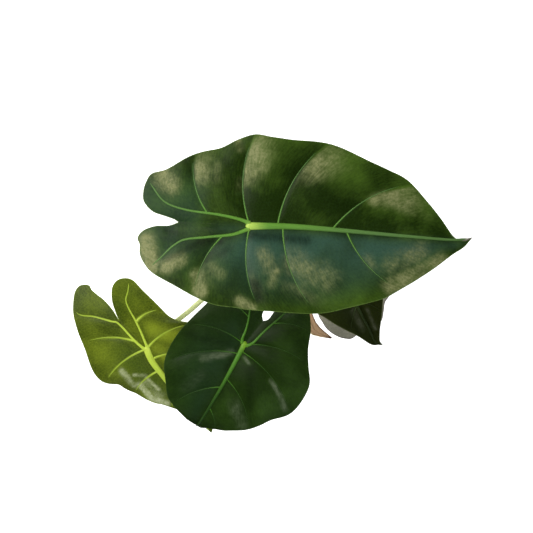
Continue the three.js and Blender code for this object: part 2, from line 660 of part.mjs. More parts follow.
// Sheath as a narrow curved strip that ends in a point at one corner
function sheathSolid(extra) {
  const place = posed(SHEATH);
  const points = [];
  const faces = [];
  SHEATH.rows.forEach(([a, low, high], i) => {
    const start = i === 0 ? a - extra : a;
    [low - extra, (low + high) / 2, high + extra].forEach((b) => points.push(place(start, b, 0)));
    if (i === 0) return;
    const n = 3 * i;
    for (let j = 0; j < 2; j += 1) {
      faces.push([n + j - 3, n + j, n + j + 1], [n + j - 3, n + j + 1, n + j - 2]);
    }
  });
  const ups = points.map(() => new THREE.Vector3());
  faces.forEach((face) => {
    const [p, q, r] = face.map((i) => points[i]);
    const up = q.clone().sub(p).cross(r.clone().sub(p));
    face.forEach((i) => ups[i].add(up));
  });
  ups.forEach((up) => up.normalize());
  return thickened({ points, faces, ups }, SHEATH.thickness + 2 * extra);
}

function soilBlank() {
  const points = [new THREE.Vector3(0, 0, SOIL_BOTTOM)];
  const bump = (radius, angle) => Math.sin(Math.PI * radius / SOIL_RADIUS) * SOIL_BUMPS.reduce(
    (sum, [height, waves, twist]) => sum + height * Math.sin(waves * angle + twist * radius), 0);
  const rings = [...SOIL_PROFILE.map(([radius, height]) => [radius, () => height])];
  for (let i = SOIL_RINGS - 1; i > 0; i -= 1) {
    const radius = SOIL_RADIUS * i / SOIL_RINGS;
    rings.push([radius, (angle) => SOIL_TOP + bump(radius, angle)]);
  }
  rings.forEach(([radius, height]) => {
    for (let k = 0; k < SOIL_SIDES; k += 1) {
      const angle = 2 * Math.PI * k / SOIL_SIDES;
      points.push(new THREE.Vector3(radius * Math.cos(angle), radius * Math.sin(angle), height(angle)));
    }
  });
  points.push(new THREE.Vector3(0, 0, SOIL_TOP));
  const at = (ring, k) => 1 + ring * SOIL_SIDES + (k % SOIL_SIDES);
  const faces = [];
  for (let k = 0; k < SOIL_SIDES; k += 1) {
    faces.push([0, at(0, k + 1), at(0, k)]);
    for (let ring = 0; ring < rings.length - 1; ring += 1) {
      faces.push([at(ring, k), at(ring, k + 1), at(ring + 1, k + 1)]);
      faces.push([at(ring, k), at(ring + 1, k + 1), at(ring + 1, k)]);
    }
    faces.push([points.length - 1, at(rings.length - 1, k), at(rings.length - 1, k + 1)]);
  }
  return makeSolid(points, faces);
}

function potSolid() {
  let pot = turned(POT_PROFILE, POT_SIDES);
  const [bottom, top] = DRAIN_HOLE_ENDS;
  const drill = turned(
    [[0, bottom], [DRAIN_HOLE_RADIUS, bottom], [DRAIN_HOLE_RADIUS, top], [0, top]], DRAIN_HOLE_SIDES);
  for (let i = 0; i < DRAIN_HOLES; i += 1) {
    const angle = 2 * Math.PI * i / DRAIN_HOLES;
    const place = [DRAIN_HOLE_CIRCLE * Math.cos(angle), DRAIN_HOLE_CIRCLE * Math.sin(angle), 0];
    pot = pot.subtract(drill.translate(place));
  }
  return pot;
}

// Named mesh with its material
function asMesh(name, solid, look) {
  const { vertProperties, triVerts, numProp } = solid.getMesh();
  const positions = [];
  for (let i = 0; i < vertProperties.length; i += numProp) positions.push(...vertProperties.slice(i, i + 3));
  const geometry = new THREE.BufferGeometry();
  geometry.setAttribute('position', new THREE.Float32BufferAttribute(positions, 3));
  geometry.setIndex([...triVerts]);
  geometry.computeVertexNormals();
  const mesh = new THREE.Mesh(geometry, new THREE.MeshStandardMaterial(look));
  mesh.name = name;
  return mesh;
}

const plant = new THREE.Group();
plant.name = 'potted_golden_bone_alocasia';

const stemBase = turned(STEM_BASE_PROFILE, STEM_BASE_SIDES);
const grownProfile = STEM_BASE_PROFILE.map(([radius, height], i) => [
  radius > 0 ? radius + GAP : 0, i < 2 ? height - GAP : height,
]);
const grownStemBase = turned(grownProfile, STEM_BASE_SIDES);
let soil = soilBlank().subtract(grownStemBase).subtract(sheathSolid(GAP));

LEAVES.forEach((leaf) => {
  const surface = bladeSurface(leaf);
  const { matrix, up } = hubMatrix(leaf, surface);
  const headRadius = HEAD_RADIUS * leaf.size;
  const headProfile = HEAD_PROFILE.map(([share, height]) => [share * headRadius, height]);
  const head = turned(headProfile, HEAD_SIDES).transform(matrix.elements);
  const holeRadius = headRadius + GAP;
  const reach = HEAD_HOLE_REACH;
  const holeProfile = [[0, -reach], [holeRadius, -reach], [holeRadius, reach], [0, reach]];
  const hole = turned(holeProfile, HEAD_SIDES).transform(matrix.elements);
  const blade = thickened(surface, BLADE_THICKNESS).subtract(hole);
  const stalk = mainBody(union([stalkTube(leaf, up, 0), head, ...ribSolids(leaf, surface)]));
  soil = soil.subtract(stalkTube(leaf, up, GAP));
  const young = leaf.name === 'leaf_3';
  plant.add(asMesh(`${leaf.name}_blade`, blade, young ? COLOURS.youngLeaf : COLOURS.leafGreen));
  plant.add(asMesh(`${leaf.name}_stalk_and_ribs`, stalk, young ? COLOURS.youngStalk : COLOURS.stalk));
});

plant.add(asMesh('dry_sheath', sheathSolid(0), COLOURS.sheath));
plant.add(asMesh('stem_base', stemBase, COLOURS.stemBase));
plant.add(asMesh('soil', soil, COLOURS.soil));
plant.add(asMesh('pot', potSolid(), COLOURS.pot));

export default plant;
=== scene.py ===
import math

import bpy
import numpy as np
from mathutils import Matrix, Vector, kdtree, noise
from mathutils.bvhtree import BVHTree


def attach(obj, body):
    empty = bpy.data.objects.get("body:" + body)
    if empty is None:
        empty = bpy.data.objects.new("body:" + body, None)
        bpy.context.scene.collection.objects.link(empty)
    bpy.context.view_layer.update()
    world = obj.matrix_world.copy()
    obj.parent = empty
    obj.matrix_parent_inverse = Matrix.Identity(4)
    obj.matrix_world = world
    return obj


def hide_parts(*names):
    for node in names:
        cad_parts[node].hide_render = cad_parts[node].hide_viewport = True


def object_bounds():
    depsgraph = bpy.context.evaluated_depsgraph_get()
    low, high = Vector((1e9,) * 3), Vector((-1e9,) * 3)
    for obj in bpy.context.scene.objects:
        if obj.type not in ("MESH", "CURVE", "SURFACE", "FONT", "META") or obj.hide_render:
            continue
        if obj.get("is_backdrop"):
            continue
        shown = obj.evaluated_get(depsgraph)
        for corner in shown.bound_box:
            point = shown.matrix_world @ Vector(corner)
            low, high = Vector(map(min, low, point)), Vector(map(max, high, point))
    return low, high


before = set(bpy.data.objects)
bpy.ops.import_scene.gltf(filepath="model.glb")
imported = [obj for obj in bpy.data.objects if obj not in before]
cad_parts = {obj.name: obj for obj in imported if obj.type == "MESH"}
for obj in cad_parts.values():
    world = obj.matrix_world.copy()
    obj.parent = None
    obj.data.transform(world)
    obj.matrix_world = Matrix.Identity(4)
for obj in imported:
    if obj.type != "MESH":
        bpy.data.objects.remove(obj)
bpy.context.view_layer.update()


# Pot
# A plain nursery pot, moulded in one piece from dark recycled plastic. The wall tapers for
# stacking, a rolled rim band stiffens the mouth, and drain holes go through the floor.

POT_SIDES = 128
POT_OUTLINE = [
    (0.0412, 0.0), (0.0424, 0.0003), (0.0434, 0.0010), (0.0440, 0.0022), (0.0502, 0.0480),
    (0.0563, 0.0940),
    (0.0571, 0.0958), (0.0584, 0.0966), (0.0598, 0.0974), (0.0600, 0.0990), (0.0605, 0.1080),
    (0.0604, 0.1092),
    (0.0598, 0.1099), (0.0590, 0.1100), (0.0583, 0.1097), (0.0578, 0.1088), (0.0573, 0.0984),
    (0.0566, 0.0968),
    (0.0548, 0.0944), (0.0486, 0.0480), (0.0424, 0.0050), (0.0418, 0.0038), (0.0406, 0.0030),
]
DRAIN_HOLES = 6
DRAIN_HOLE_RADIUS = 0.004
DRAIN_HOLE_CIRCLE = 0.029


def turned_piece(name, outline, sides):
    """Extrudes a disc up through each radius and height, as a wheel-thrown form grows."""
    bpy.ops.object.select_all(action="DESELECT")
    radius, height = outline[0]
    bpy.ops.mesh.primitive_circle_add(
        vertices=sides, radius=radius, fill_type="NGON", location=(0, 0, height)
    )
    piece = bpy.context.object
    piece.name = name
    bpy.ops.object.transform_apply(location=True)
    bpy.ops.object.mode_set(mode="EDIT")
    for next_radius, next_height in outline[1:]:
        bpy.ops.mesh.extrude_region_move(
            TRANSFORM_OT_translate={"value": (0, 0, next_height - height)}
        )
        grow = next_radius / radius
        bpy.ops.transform.resize(value=(grow, grow, 1), center_override=(0, 0, next_height))
        radius, height = next_radius, next_height
    bpy.ops.mesh.select_all(action="SELECT")
    bpy.ops.mesh.normals_make_consistent(inside=False)
    bpy.ops.object.mode_set(mode="OBJECT")
    return piece


def node(tree, kind, inputs=None, **settings):
    """Adds a shader node, sets it up, and links or fills its inputs."""
    made = tree.nodes.new("ShaderNode" + kind)
    for key, value in settings.items():
        setattr(made, key, value)
    for key, value in (inputs or {}).items():
        if isinstance(value, bpy.types.NodeSocket):
            tree.links.new(value, made.inputs[key])
        else:
            made.inputs[key].default_value = value
    return made


def attribute(tree, name, output="Fac"):
    """Reads a value that the mesh carries at each point."""
    return node(tree, "Attribute", attribute_name=name).outputs[output]


def blend(tree, amount, first, second, kind="MIX"):
    """Mixes two colours by an amount."""
    mixed = node(tree, "Mix", data_type="RGBA", blend_type=kind, clamp_factor=True)
    for socket, value in ((0, amount), (6, first), (7, second)):
        if isinstance(value, bpy.types.NodeSocket):
            tree.links.new(value, mixed.inputs[socket])
        else:
            mixed.inputs[socket].default_value = value
    return mixed.outputs[2]


def math_node(tree, operation, *values):
    """One sum on one to three values."""
    made = node(tree, "Math", operation=operation)
    for i, value in enumerate(values):
        if isinstance(value, bpy.types.NodeSocket):
            tree.links.new(value, made.inputs[i])
        else:
            made.inputs[i].default_value = value
    return made.outputs[0]


def ramp(tree, value, low, high, out_low=0.0, out_high=1.0):
    """Fades smoothly from one value to another between two limits."""
    made = node(tree, "MapRange", interpolation_type="SMOOTHSTEP")
    for key, number in (("Value", value), ("From Min", low), ("From Max", high),
                        ("To Min", out_low), ("To Max", out_high)):
        if isinstance(number, bpy.types.NodeSocket):
            tree.links.new(number, made.inputs[key])
        else:
            made.inputs[key].default_value = number
    return made.outputs["Result"]


def colour(red, green, blue):
    """Linear colour from one read on a 0 to 255 scale."""
    def linear(value):
        value /= 255
        return value / 12.92 if value <= 0.04045 else ((value + 0.055) / 1.055) ** 2.4
    return (linear(red), linear(green), linear(blue), 1.0)


def new_group(name, inputs, outputs):
    """Shader group with named sockets: (name, kind, starting value) in, (name, kind) out."""
    group = bpy.data.node_groups.new(name, "ShaderNodeTree")
    for label, kind, value in inputs:
        socket = group.interface.new_socket(name=label, in_out="INPUT", socket_type="NodeSocket" + kind)
        socket.default_value = value
    for label, kind in outputs:
        group.interface.new_socket(name=label, in_out="OUTPUT", socket_type="NodeSocket" + kind)
    start = group.nodes.new("NodeGroupInput")
    end = group.nodes.new("NodeGroupOutput")
    return group, start.outputs, end.inputs


def use_group(tree, group, values):
    """Places a group in a material with its own values."""
    made = tree.nodes.new("ShaderNodeGroup")
    made.node_tree = group
    for key, value in values.items():
        if isinstance(value, bpy.types.NodeSocket):
            tree.links.new(value, made.inputs[key])
        else:
            made.inputs[key].default_value = value
    return made.outputs


def new_material(name):
    """Empty material with its output and one shader."""
    material = bpy.data.materials.new(name)
    material.use_nodes = True
    tree = material.node_tree
    shader = tree.nodes["Principled BSDF"]
    return material, tree, shader


# A group that gives moulded, woody or papery skins their fine grain
grain_group, grain_in, grain_out = new_group(
    "fine_grain",
    [("Scale", "Float", 400.0), ("Patch Scale", "Float", 30.0)],
    [("Grain", "Float"), ("Patches", "Float")],
)
grain_tree = grain_group
coordinates = node(grain_tree, "TexCoord").outputs["Object"]
fine = node(grain_tree, "TexNoise", {"Vector": coordinates, "Scale": grain_in["Scale"], "Detail": 3.0})
broad = node(grain_tree, "TexNoise", {"Vector": coordinates, "Scale": grain_in["Patch Scale"], "Detail": 4.0})
grain_tree.links.new(fine.outputs["Fac"], grain_out["Grain"])
grain_tree.links.new(broad.outputs["Fac"], grain_out["Patches"])

pot = turned_piece("nursery_pot", POT_OUTLINE, POT_SIDES)
bpy.ops.object.select_all(action="DESELECT")
drills = []
for i in range(DRAIN_HOLES):
    turn = 2 * math.pi * i / DRAIN_HOLES
    bpy.ops.mesh.primitive_cylinder_add(
        vertices=32, radius=DRAIN_HOLE_RADIUS, depth=0.012,
        location=(DRAIN_HOLE_CIRCLE * math.cos(turn), DRAIN_HOLE_CIRCLE * math.sin(turn), 0.001),
    )
    drills.append(bpy.context.object)
for drill in drills:
    drill.select_set(True)
bpy.ops.object.join()
drill = bpy.context.object
bpy.context.view_layer.objects.active = pot
cut = pot.modifiers.new("drain_holes", "BOOLEAN")
cut.operation = "DIFFERENCE"
cut.object = drill
bpy.ops.object.modifier_apply(modifier=cut.name)
bpy.data.objects.remove(drill)
bpy.ops.object.select_all(action="DESELECT")
pot.select_set(True)
bpy.ops.object.shade_smooth_by_angle(angle=math.radians(35))

pot_plastic, tree, shader = new_material("moulded_pot_plastic")
grain = use_group(tree, grain_group, {"Scale": 1600.0, "Patch Scale": 38.0})
height_on_pot = node(tree, "SeparateXYZ", {"Vector": node(tree, "TexCoord").outputs["Object"]}).outputs["Z"]
low_down = ramp(tree, height_on_pot, 0.03, 0.0, 0.05, 0.4)
dust = math_node(tree, "MULTIPLY", ramp(tree, grain["Patches"], 0.45, 0.72), low_down)
scuffed = blend(tree, grain["Patches"], colour(40, 42, 45), colour(58, 60, 62))
dusty = blend(tree, dust, scuffed, colour(104, 96, 86))
flow = node(tree, "TexWave", {
    "Vector": node(tree, "TexCoord").outputs["Object"], "Scale": 60.0, "Distortion": 1.4, "Detail": 2.0,
}, bands_direction="Z")
relief = math_node(tree, "ADD", grain["Grain"], math_node(tree, "MULTIPLY", flow.outputs["Fac"], 0.15))
bump = node(tree, "Bump", {"Height": relief, "Strength": 0.5, "Distance": 0.00012})
tree.links.new(dusty, shader.inputs["Base Color"])
tree.links.new(ramp(tree, grain["Patches"], 0.3, 0.7, 0.42, 0.6), shader.inputs["Roughness"])
tree.links.new(bump.outputs["Normal"], shader.inputs["Normal"])
pot.data.materials.append(pot_plastic)
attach(pot, "root")
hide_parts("pot")


# Soil
# Loose potting mix of peat, coco fibre and bark with white perlite, watered down to a
# settled, lumpy top a little under the pot's rim.

SOIL_TOP = 0.0965
SOIL_RADIUS = 0.0552
SOIL_RINGS = 44
CRUMBS = 2300
PERLITE = 130
BARK_CHIPS = 70
chance = np.random.default_rng(11)


def soil_height(x, y):
    """Height of the settled top, lower by the wall and round the stalks."""
    place = Vector((x * 60, y * 60, 0.3))
    rough = noise.fractal(place, 0.9, 2.1, 4)
    return SOIL_TOP + 0.0009 * rough + 0.0004 * noise.noise(place * 5)


soil_outline = [(0.0400, 0.0034), (0.0419, 0.0052), (0.0480, 0.0500), (0.0541, 0.0940)]
soil_outline.append((SOIL_RADIUS, SOIL_TOP))
for ring in range(1, SOIL_RINGS):
    soil_outline.append((SOIL_RADIUS * (1 - ring / SOIL_RINGS), SOIL_TOP))
soil = turned_piece("potting_mix", soil_outline, 144)
for vertex in soil.data.vertices:
    reach = math.hypot(vertex.co.x, vertex.co.y)
    if vertex.co.z > SOIL_TOP - 0.0001 and reach < SOIL_RADIUS - 0.0005:
        vertex.co.z = soil_height(vertex.co.x, vertex.co.y)
bpy.ops.object.shade_smooth()


def scattered(name, count, low, high, squash, faces, sink):
    """Many small lumps, each a shaken copy of one primitive, laid on the soil and joined."""
    bpy.ops.object.select_all(action="DESELECT")
    bpy.ops.mesh.primitive_ico_sphere_add(subdivisions=faces, radius=1)
    seed = bpy.context.object
    corners = np.array([v.co for v in seed.data.vertices])
    polygons = [tuple(p.vertices) for p in seed.data.polygons]
    bpy.data.objects.remove(seed)
    points, sides = [], []
    for _ in range(count):
        reach = (SOIL_RADIUS - high) * math.sqrt(chance.random())
        turn = 2 * math.pi * chance.random()
        x, y = reach * math.cos(turn), reach * math.sin(turn)
        size = low + (high - low) * chance.random() ** 3
        shaken = corners * (1 + 0.28 * chance.standard_normal((len(corners), 1)).clip(-1.6, 1.6))
        shaken = shaken * (1.0, squash[0], squash[1]) * size
        spin = np.linalg.qr(chance.standard_normal((3, 3)))[0]
        if np.linalg.det(spin) < 0:
            spin[0] *= -1
        if squash[1] < 0.5:
            spin = np.array([[math.cos(turn * 7), -math.sin(turn * 7), 0.1],
                             [math.sin(turn * 7), math.cos(turn * 7), 0.1], [-0.1, 0.1, 1]])
        lump = shaken @ spin.T + (x, y, soil_height(x, y) + sink * size)
        start = len(points)
        points.extend(map(tuple, lump))
        sides.extend(tuple(start + i for i in side) for side in polygons)
    mesh = bpy.data.meshes.new(name)
    mesh.from_pydata(points, [], sides)
    piece = bpy.data.objects.new(name, mesh)
    bpy.context.scene.collection.objects.link(piece)
    bpy.context.view_layer.objects.active = piece
    piece.select_set(True)
    return piece


def mix_material(name, dark, light, roughness, scale):
    """Crumbly matter with damp and dry patches."""
    material, tree, shader = new_material(name)
    grain = use_group(tree, grain_group, {"Scale": scale * 6, "Patch Scale": scale})
    tone = blend(tree, ramp(tree, grain["Patches"], 0.3, 0.7), dark, light)
    tone = blend(tree, ramp(tree, grain["Grain"], 0.55, 0.75, 0.0, 0.35), tone, light)
    bump = node(tree, "Bump", {"Height": grain["Grain"], "Strength": 0.9, "Distance": 0.0006})
    tree.links.new(tone, shader.inputs["Base Color"])
    rough = ramp(tree, grain["Patches"], 0.35, 0.65, roughness - 0.12, roughness)
    tree.links.new(rough, shader.inputs["Roughness"])
    tree.links.new(bump.outputs["Normal"], shader.inputs["Normal"])
    return material


soil_finish = mix_material("damp_peat", colour(34, 24, 17), colour(72, 54, 39), 0.95, 160.0)
perlite_finish = mix_material("white_perlite", colour(196, 190, 178), colour(232, 229, 221), 0.9, 500.0)
bark_finish = mix_material("pine_bark", colour(60, 36, 22), colour(112, 74, 46), 0.85, 260.0)
crumbs = scattered("soil_crumbs", CRUMBS, 0.0004, 0.0021, (0.85, 0.7), 1, 0.25)
perlite = scattered("perlite_grains", PERLITE, 0.0006, 0.0021, (0.9, 0.8), 2, 0.3)
bark = scattered("bark_chips", BARK_CHIPS, 0.0018, 0.0046, (0.5, 0.2), 2, 0.12)
finished = ((soil, soil_finish), (crumbs, soil_finish), (perlite, perlite_finish), (bark, bark_finish))
for piece, finish in finished:
    piece.data.materials.append(finish)
    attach(piece, "root")
    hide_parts("soil")


# Stem base
# The short woody stump that old leaves have dropped from. It is corky, ringed by the scars
# of their sheaths, and dries to a pale brown tip.

STUMP_OUTLINE = [
    (0.0064, 0.0820), (0.0076, 0.0900), (0.0071, 0.0950), (0.0070, 0.0970), (0.0075, 0.0982),
    (0.0074, 0.0990),
    (0.0068, 0.1005), (0.0065, 0.1022), (0.0067, 0.1034), (0.0068, 0.1042), (0.0064, 0.1054),
    (0.0058, 0.1068),
    (0.0052, 0.1082), (0.0044, 0.1091), (0.0034, 0.1097), (0.0024, 0.1100), (0.0012, 0.1101),
    (0.0004, 0.1102),
]
stump = turned_piece("corky_stump", STUMP_OUTLINE, 64)
bpy.ops.object.mode_set(mode="EDIT")
bpy.ops.mesh.select_all(action="SELECT")
bpy.ops.mesh.subdivide(number_cuts=1)
bpy.ops.object.mode_set(mode="OBJECT")
for vertex in stump.data.vertices:
    if 0.0830 < vertex.co.z < 0.1099:
        furrow = noise.fractal(Vector((vertex.co.x * 500, vertex.co.y * 500, vertex.co.z * 160)), 0.8, 2.2, 3)
        push = 1 - 0.05 * abs(furrow)
        vertex.co.x *= push
        vertex.co.y *= push
bpy.ops.object.shade_smooth()
stump.data.materials.append(mix_material("corky_bark", colour(78, 60, 45), colour(138, 116, 92), 0.9, 220.0))
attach(stump, "root")
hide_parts("stem_base")


# Leaf stalks
# Fleshy round stalks. Each clasps the stem base with a short grooved sheath, thins on its way
# up, and swells into a pale knob where it passes into its blade. Sizes are in millimetres.

LEAVES = {
    "leaf_1": dict(
        hub=(-29.6, 2.9, 345), yaw=-4, roll=0, rise=8, size=1,
        arch=((-85, -5), (0, 2), (100, 9), (172, 20)), cup_left=((0, 14),), cup_right=((0, 14),),
        foot_angle=150, through=((-19, 4, 180), (-28, 4, 270)),
        midrib=((40, 2), (116, 1), (160, 1)), tip=(177, 4), notch=(-55, -1),
        bulge=2.2, rib_width=7.4, vein_width=0.62, taper=0.5,
        left=dict(
            lobe_end=(-81, 31), rib=((-8, 4), (-24, 7), (-49, 9), (-66, 14), (-76, 25)), hub_vein=(-2, 70),
            outline=(
                (171, 1), (165, 1.5), (159, 5), (148, 17), (136, 29), (119, 44), (102, 51), (88, 56),
                (65, 65),
                (49, 68), (28, 68), (12, 69), (-1, 70), (-14, 65), (-26, 58), (-40, 54), (-51, 49),
                (-66, 39),
                (-77, 35), (-81, 29), (-83, 21), (-82, 13), (-75, 6), (-65, 3), (-58, 1),
            ),
            veins=((21, (54, 68)), (63, (122, 41))), back_veins=((-33, (-46, 52)),),
        ),
        right=dict(
            lobe_end=(-75, -38), rib=((-12, -7), (-33, -11), (-49, -14), (-58, -20), (-66, -29)),
            hub_vein=(12, -64),
            outline=(
                (172, -2.5), (167, -6.5), (160, -11), (145, -23), (131, -33), (117, -42), (107, -48),
                (93, -53),
                (77, -58), (64, -62), (48, -64), (20, -64), (3, -64), (-8, -63), (-23, -62), (-38, -57),
                (-53, -50), (-70, -42), (-77, -36), (-82, -28), (-83, -20), (-85, -15), (-81, -9),
                (-72, -5),
                (-62, -4),
            ),
            veins=((25, (56, -63)), (74, (119, -41))), back_veins=((-20, (-38, -56)),),
        ),
    ),
    "leaf_2": dict(
        hub=(-35.4, -92.6, 250), yaw=-119, roll=3, rise=8, size=0.9,
        arch=((-70, 2), (0, 7), (62, 24), (105, 86), (150, 90)), cup_left=((0, 16),), cup_right=((0, 16),),
        foot_angle=-113, through=((-9, -32, 150), (-26, -70, 215)),
        midrib=((38, 1), (80, 1)), tip=(117, 1), notch=(-25, 4),
        bulge=1.6, rib_width=6.2, vein_width=0.42, taper=0.42,
        left=dict(
            lobe_end=(-61, 22), rib=((-5, 5), (-18, 9), (-38, 16), (-52, 20)), hub_vein=(-11, 54),
            outline=(
                (109, 3), (102, 4), (94, 6), (89, 9), (83, 15), (78, 22), (72, 28), (63, 38), (54, 45),
                (45, 51), (36, 60), (27, 64), (13, 65), (1, 63), (-11, 55), (-23, 48), (-38, 42),
                (-50, 34), (-59, 27), (-62, 18), (-56, 11),
                (-46, 8), (-35, 8), (-28, 7),
            ),
            veins=((6, (32, 62)), (33, (62, 39)), (64, (83, 15))), back_veins=((-27, (-36, 43)),),
        ),
        right=dict(
            lobe_end=(-56, -22), rib=((-4, -3), (-13, -5), (-25, -9), (-40, -16)), hub_vein=(8, -51),
            outline=(
                (109, -1), (102, -1), (96, -6), (92, -11), (87, -17), (82, -24), (75, -32), (68, -37),
                (60, -42), (48, -50), (36, -53), (20, -53), (4, -50), (-16, -44), (-30, -40),
                (-43, -35), (-53, -28), (-57, -19), (-54, -10),
                (-45, -4), (-35, 0), (-29, 1),
            ),
            veins=((9, (46, -51)), (42, (79, -28))), back_veins=((-22, (-22, -43)),),
        ),
    ),
    "leaf_3": dict(
        hub=(-121.1, -99.6, 190), yaw=-54, roll=-20, rise=10, size=0.8,
        arch=((-70, -5), (0, 12), (60, 30), (110, 44)), cup_left=((-60, 20), (110, 30)),
        cup_right=((-60, 0), (0, 30), (30, 80), (110, 60)),
        foot_angle=-160, through=((-42, -27, 131), (-85, -67, 163)),
        midrib=((12, -4), (34, -7), (70, -13)), tip=(109, -21), notch=(-35, -3), bulge=1.3, rib_width=7,
        vein_width=0.95, taper=0.9,
        left=dict(
            lobe_end=(-57, 29), rib=((-13, 6), (-26, 10), (-37, 12), (-45, 15), (-50, 22)), hub_vein=(5, 50),
            outline=(
                (105, -16), (97, -6), (84, 9), (68, 24), (50, 38), (32, 47), (16, 52), (4, 50), (-5, 42),
                (-12, 38), (-19, 37), (-31, 36), (-43, 34), (-55, 32), (-61, 26), (-63, 18), (-60, 10),
                (-52, 3), (-43, -1),
            ),
            veins=((10, (38, 45)), (36, (70, 24))), back_veins=((-25, (-20, 34)),),
        ),
        right=dict(
            lobe_end=(-66, -31), rib=((-11, -3), (-32, -5), (-38, -9), (-50, -19), (-58, -28)),
            hub_vein=(2, -50),
            outline=(
                (103, -20), (96, -19), (86, -19), (74, -20), (66, -22), (58, -25), (51, -28), (46, -32),
                (36, -38), (26, -43), (19, -45), (12, -45), (8, -48), (4, -51), (-2, -53), (-10, -53),
                (-20, -50), (-34, -44), (-51, -38), (-64, -32), (-76, -22), (-79, -14), (-75, -7),
                (-70, -7),
                (-64, -5.5), (-56, -3), (-45, -2),
            ),
            veins=((22, (28, -41)), (46, (62, -26))), back_veins=((-11, (-38, -43)),),
        ),
    ),
    "leaf_4": dict(
        hub=(38, -24, 280), yaw=-60, roll=0, rise=8, size=0.8,
        arch=((-45, 15), (0, 28), (60, 45), (118, 62)), cup_left=((0, 20),), cup_right=((0, 20),),
        foot_angle=32, through=((21, -2, 170), (30, -14, 235)),
        midrib=((52, -1), (82, -1), (112, -1)), tip=(122, 4), notch=(-28, 0), bulge=1.3, rib_width=4.6,
        vein_width=0.42, taper=0.5,
        left=dict(
            lobe_end=(-46, 24), rib=((-14, 6), (-28, 11), (-39, 18)), hub_vein=(4, 41),
            outline=(
                (112, 3), (98, 6), (87, 10), (76, 14), (58, 20), (42, 28), (26, 36), (10, 41), (-6, 41),
                (-22, 37), (-38, 30), (-47, 22), (-48, 13), (-42, 6), (-34, 2),
            ),
            veins=((16, (38, 32)), (46, (73, 16))), back_veins=((-20, (-22, 37)),),
        ),
        right=dict(
            lobe_end=(-46, -25), rib=((-14, -6), (-28, -11), (-39, -18)), hub_vein=(6, -43),
            outline=(
                (112, -4), (90, -11), (67, -19), (53, -25), (39, -31), (24, -38), (10, -43), (-6, -43),
                (-22, -38), (-38, -31), (-47, -23), (-48, -14), (-42, -6), (-34, -2),
            ),
            veins=((20, (42, -30)), (50, (78, -15))), back_veins=((-22, (-22, -38)),),
        ),
    ),
    "leaf_5": dict(
        hub=(56, -60, 172), yaw=-65, roll=0, rise=8, size=0.75,
        arch=((-45, 138), (0, 116), (30, 96), (95, 82)), cup_left=((0, 20),), cup_right=((0, 20),),
        foot_angle=-27, through=((22, -22, 140), (33, -38, 172)),
        midrib=((30, 1), (60, 1)), tip=(92, -1), notch=(-26, 0),
        bulge=1.1, rib_width=4.2, vein_width=0.6, taper=0.5,
        left=dict(
            lobe_end=(-43, 14), rib=((-13, 5), (-26, 9), (-37, 12)), hub_vein=(6, 35),
            outline=(
                (84, 6), (68, 15), (50, 24), (32, 31), (12, 35), (-4, 36), (-14, 34), (-20, 28),
                (-30, 23),
                (-39, 18), (-44, 11), (-41, 4), (-33, 1),
            ),
            veins=((15, (36, 29)), (40, (62, 18))), back_veins=((-19, (-22, 27)),),
        ),
        right=dict(
            lobe_end=(-43, -14), rib=((-13, -5), (-26, -9), (-36, -12)), hub_vein=(4, -29),
            outline=(
                (84, -6), (68, -12), (50, -19), (32, -25), (12, -29), (-4, -29), (-20, -28), (-33, -23),
                (-41, -17), (-44, -11), (-41, -4), (-33, -1),
            ),
            veins=((18, (38, -25)), (43, (64, -15))), back_veins=((-21, (-22, -28)),),
        ),
    ),
}
FOOT_CIRCLE = 14
FOOT_DEPTH = 76
FOOT_TOP = 100.5
CURVE_POINTS = 400
STALK_RADII = ((0, 4.7), (0.12, 4.3), (0.3, 3.1), (0.55, 2.7), (1, 2.3))
STALK_SIDES = 28
STALK_RINGS = 150
KNOB = (
    (-10, 2.4), (-7, 2.6), (-4.5, 3.1), (-2.5, 3.6), (-1, 3.6), (0, 3.3), (0.6, 2.9), (1, 2.3),
    (1.3, 1.4),
    (1.4, 0.3),
)
KNOB_DEPTH = 9
CLASP_SHARE = 0.36


def along_pairs(pairs, x):
    """Value at x on a line drawn through pairs."""
    return np.interp(x, [p[0] for p in pairs], [p[1] for p in pairs])


def posed(leaf, a, b, height):
    """Where flat points of a blade, with a height above it, lie in the plant, in metres."""
    a, b, height = np.broadcast_arrays(np.asarray(a, float), np.asarray(b, float), np.asarray(height, float))
    steps = np.arange(-120, 221)
    slopes = np.radians(along_pairs(leaf["arch"], steps + 0.5))
    run_x = np.concatenate(([0], np.cumsum(np.cos(slopes))[:-1]))
    run_z = np.concatenate(([0], -np.cumsum(np.sin(slopes))[:-1]))
    x = np.interp(a, steps, run_x) - run_x[120]
    z = np.interp(a, steps, run_z) - run_z[120]
    slope = np.radians(along_pairs(leaf["arch"], a))
    rise = math.radians(leaf["rise"])
    cup = np.where(b >= 0, along_pairs(leaf["cup_left"], a), along_pairs(leaf["cup_right"], a))
    curl = np.maximum(np.radians(cup) / 100, 1e-6)
    bent = rise - curl * np.abs(b)
    across = np.sign(b) * (math.sin(rise) - np.sin(bent)) / curl
    up = (np.cos(bent) - math.cos(rise)) / curl + height
    x = x + up * np.sin(slope)
    z = z + up * np.cos(slope)
    roll = math.radians(leaf["roll"])
    yaw = math.radians(leaf["yaw"])
    y = across * math.cos(roll) + z * math.sin(roll)
    z = -across * math.sin(roll) + z * math.cos(roll)
    x, y = x * math.cos(yaw) - y * math.sin(yaw), x * math.sin(yaw) + y * math.cos(yaw)
    return (np.stack((x, y, z), -1) + leaf["hub"]) / 1000


def upright(leaf, a, b):
    """Direction that stands square on a blade at flat points."""
    ahead = posed(leaf, a + 0.5, b, 0) - posed(leaf, a - 0.5, b, 0)
    aside = posed(leaf, a, b + 0.5, 0) - posed(leaf, a, b - 0.5, 0)
    square = np.cross(ahead, aside)
    return square / np.linalg.norm(square, axis=-1, keepdims=True)


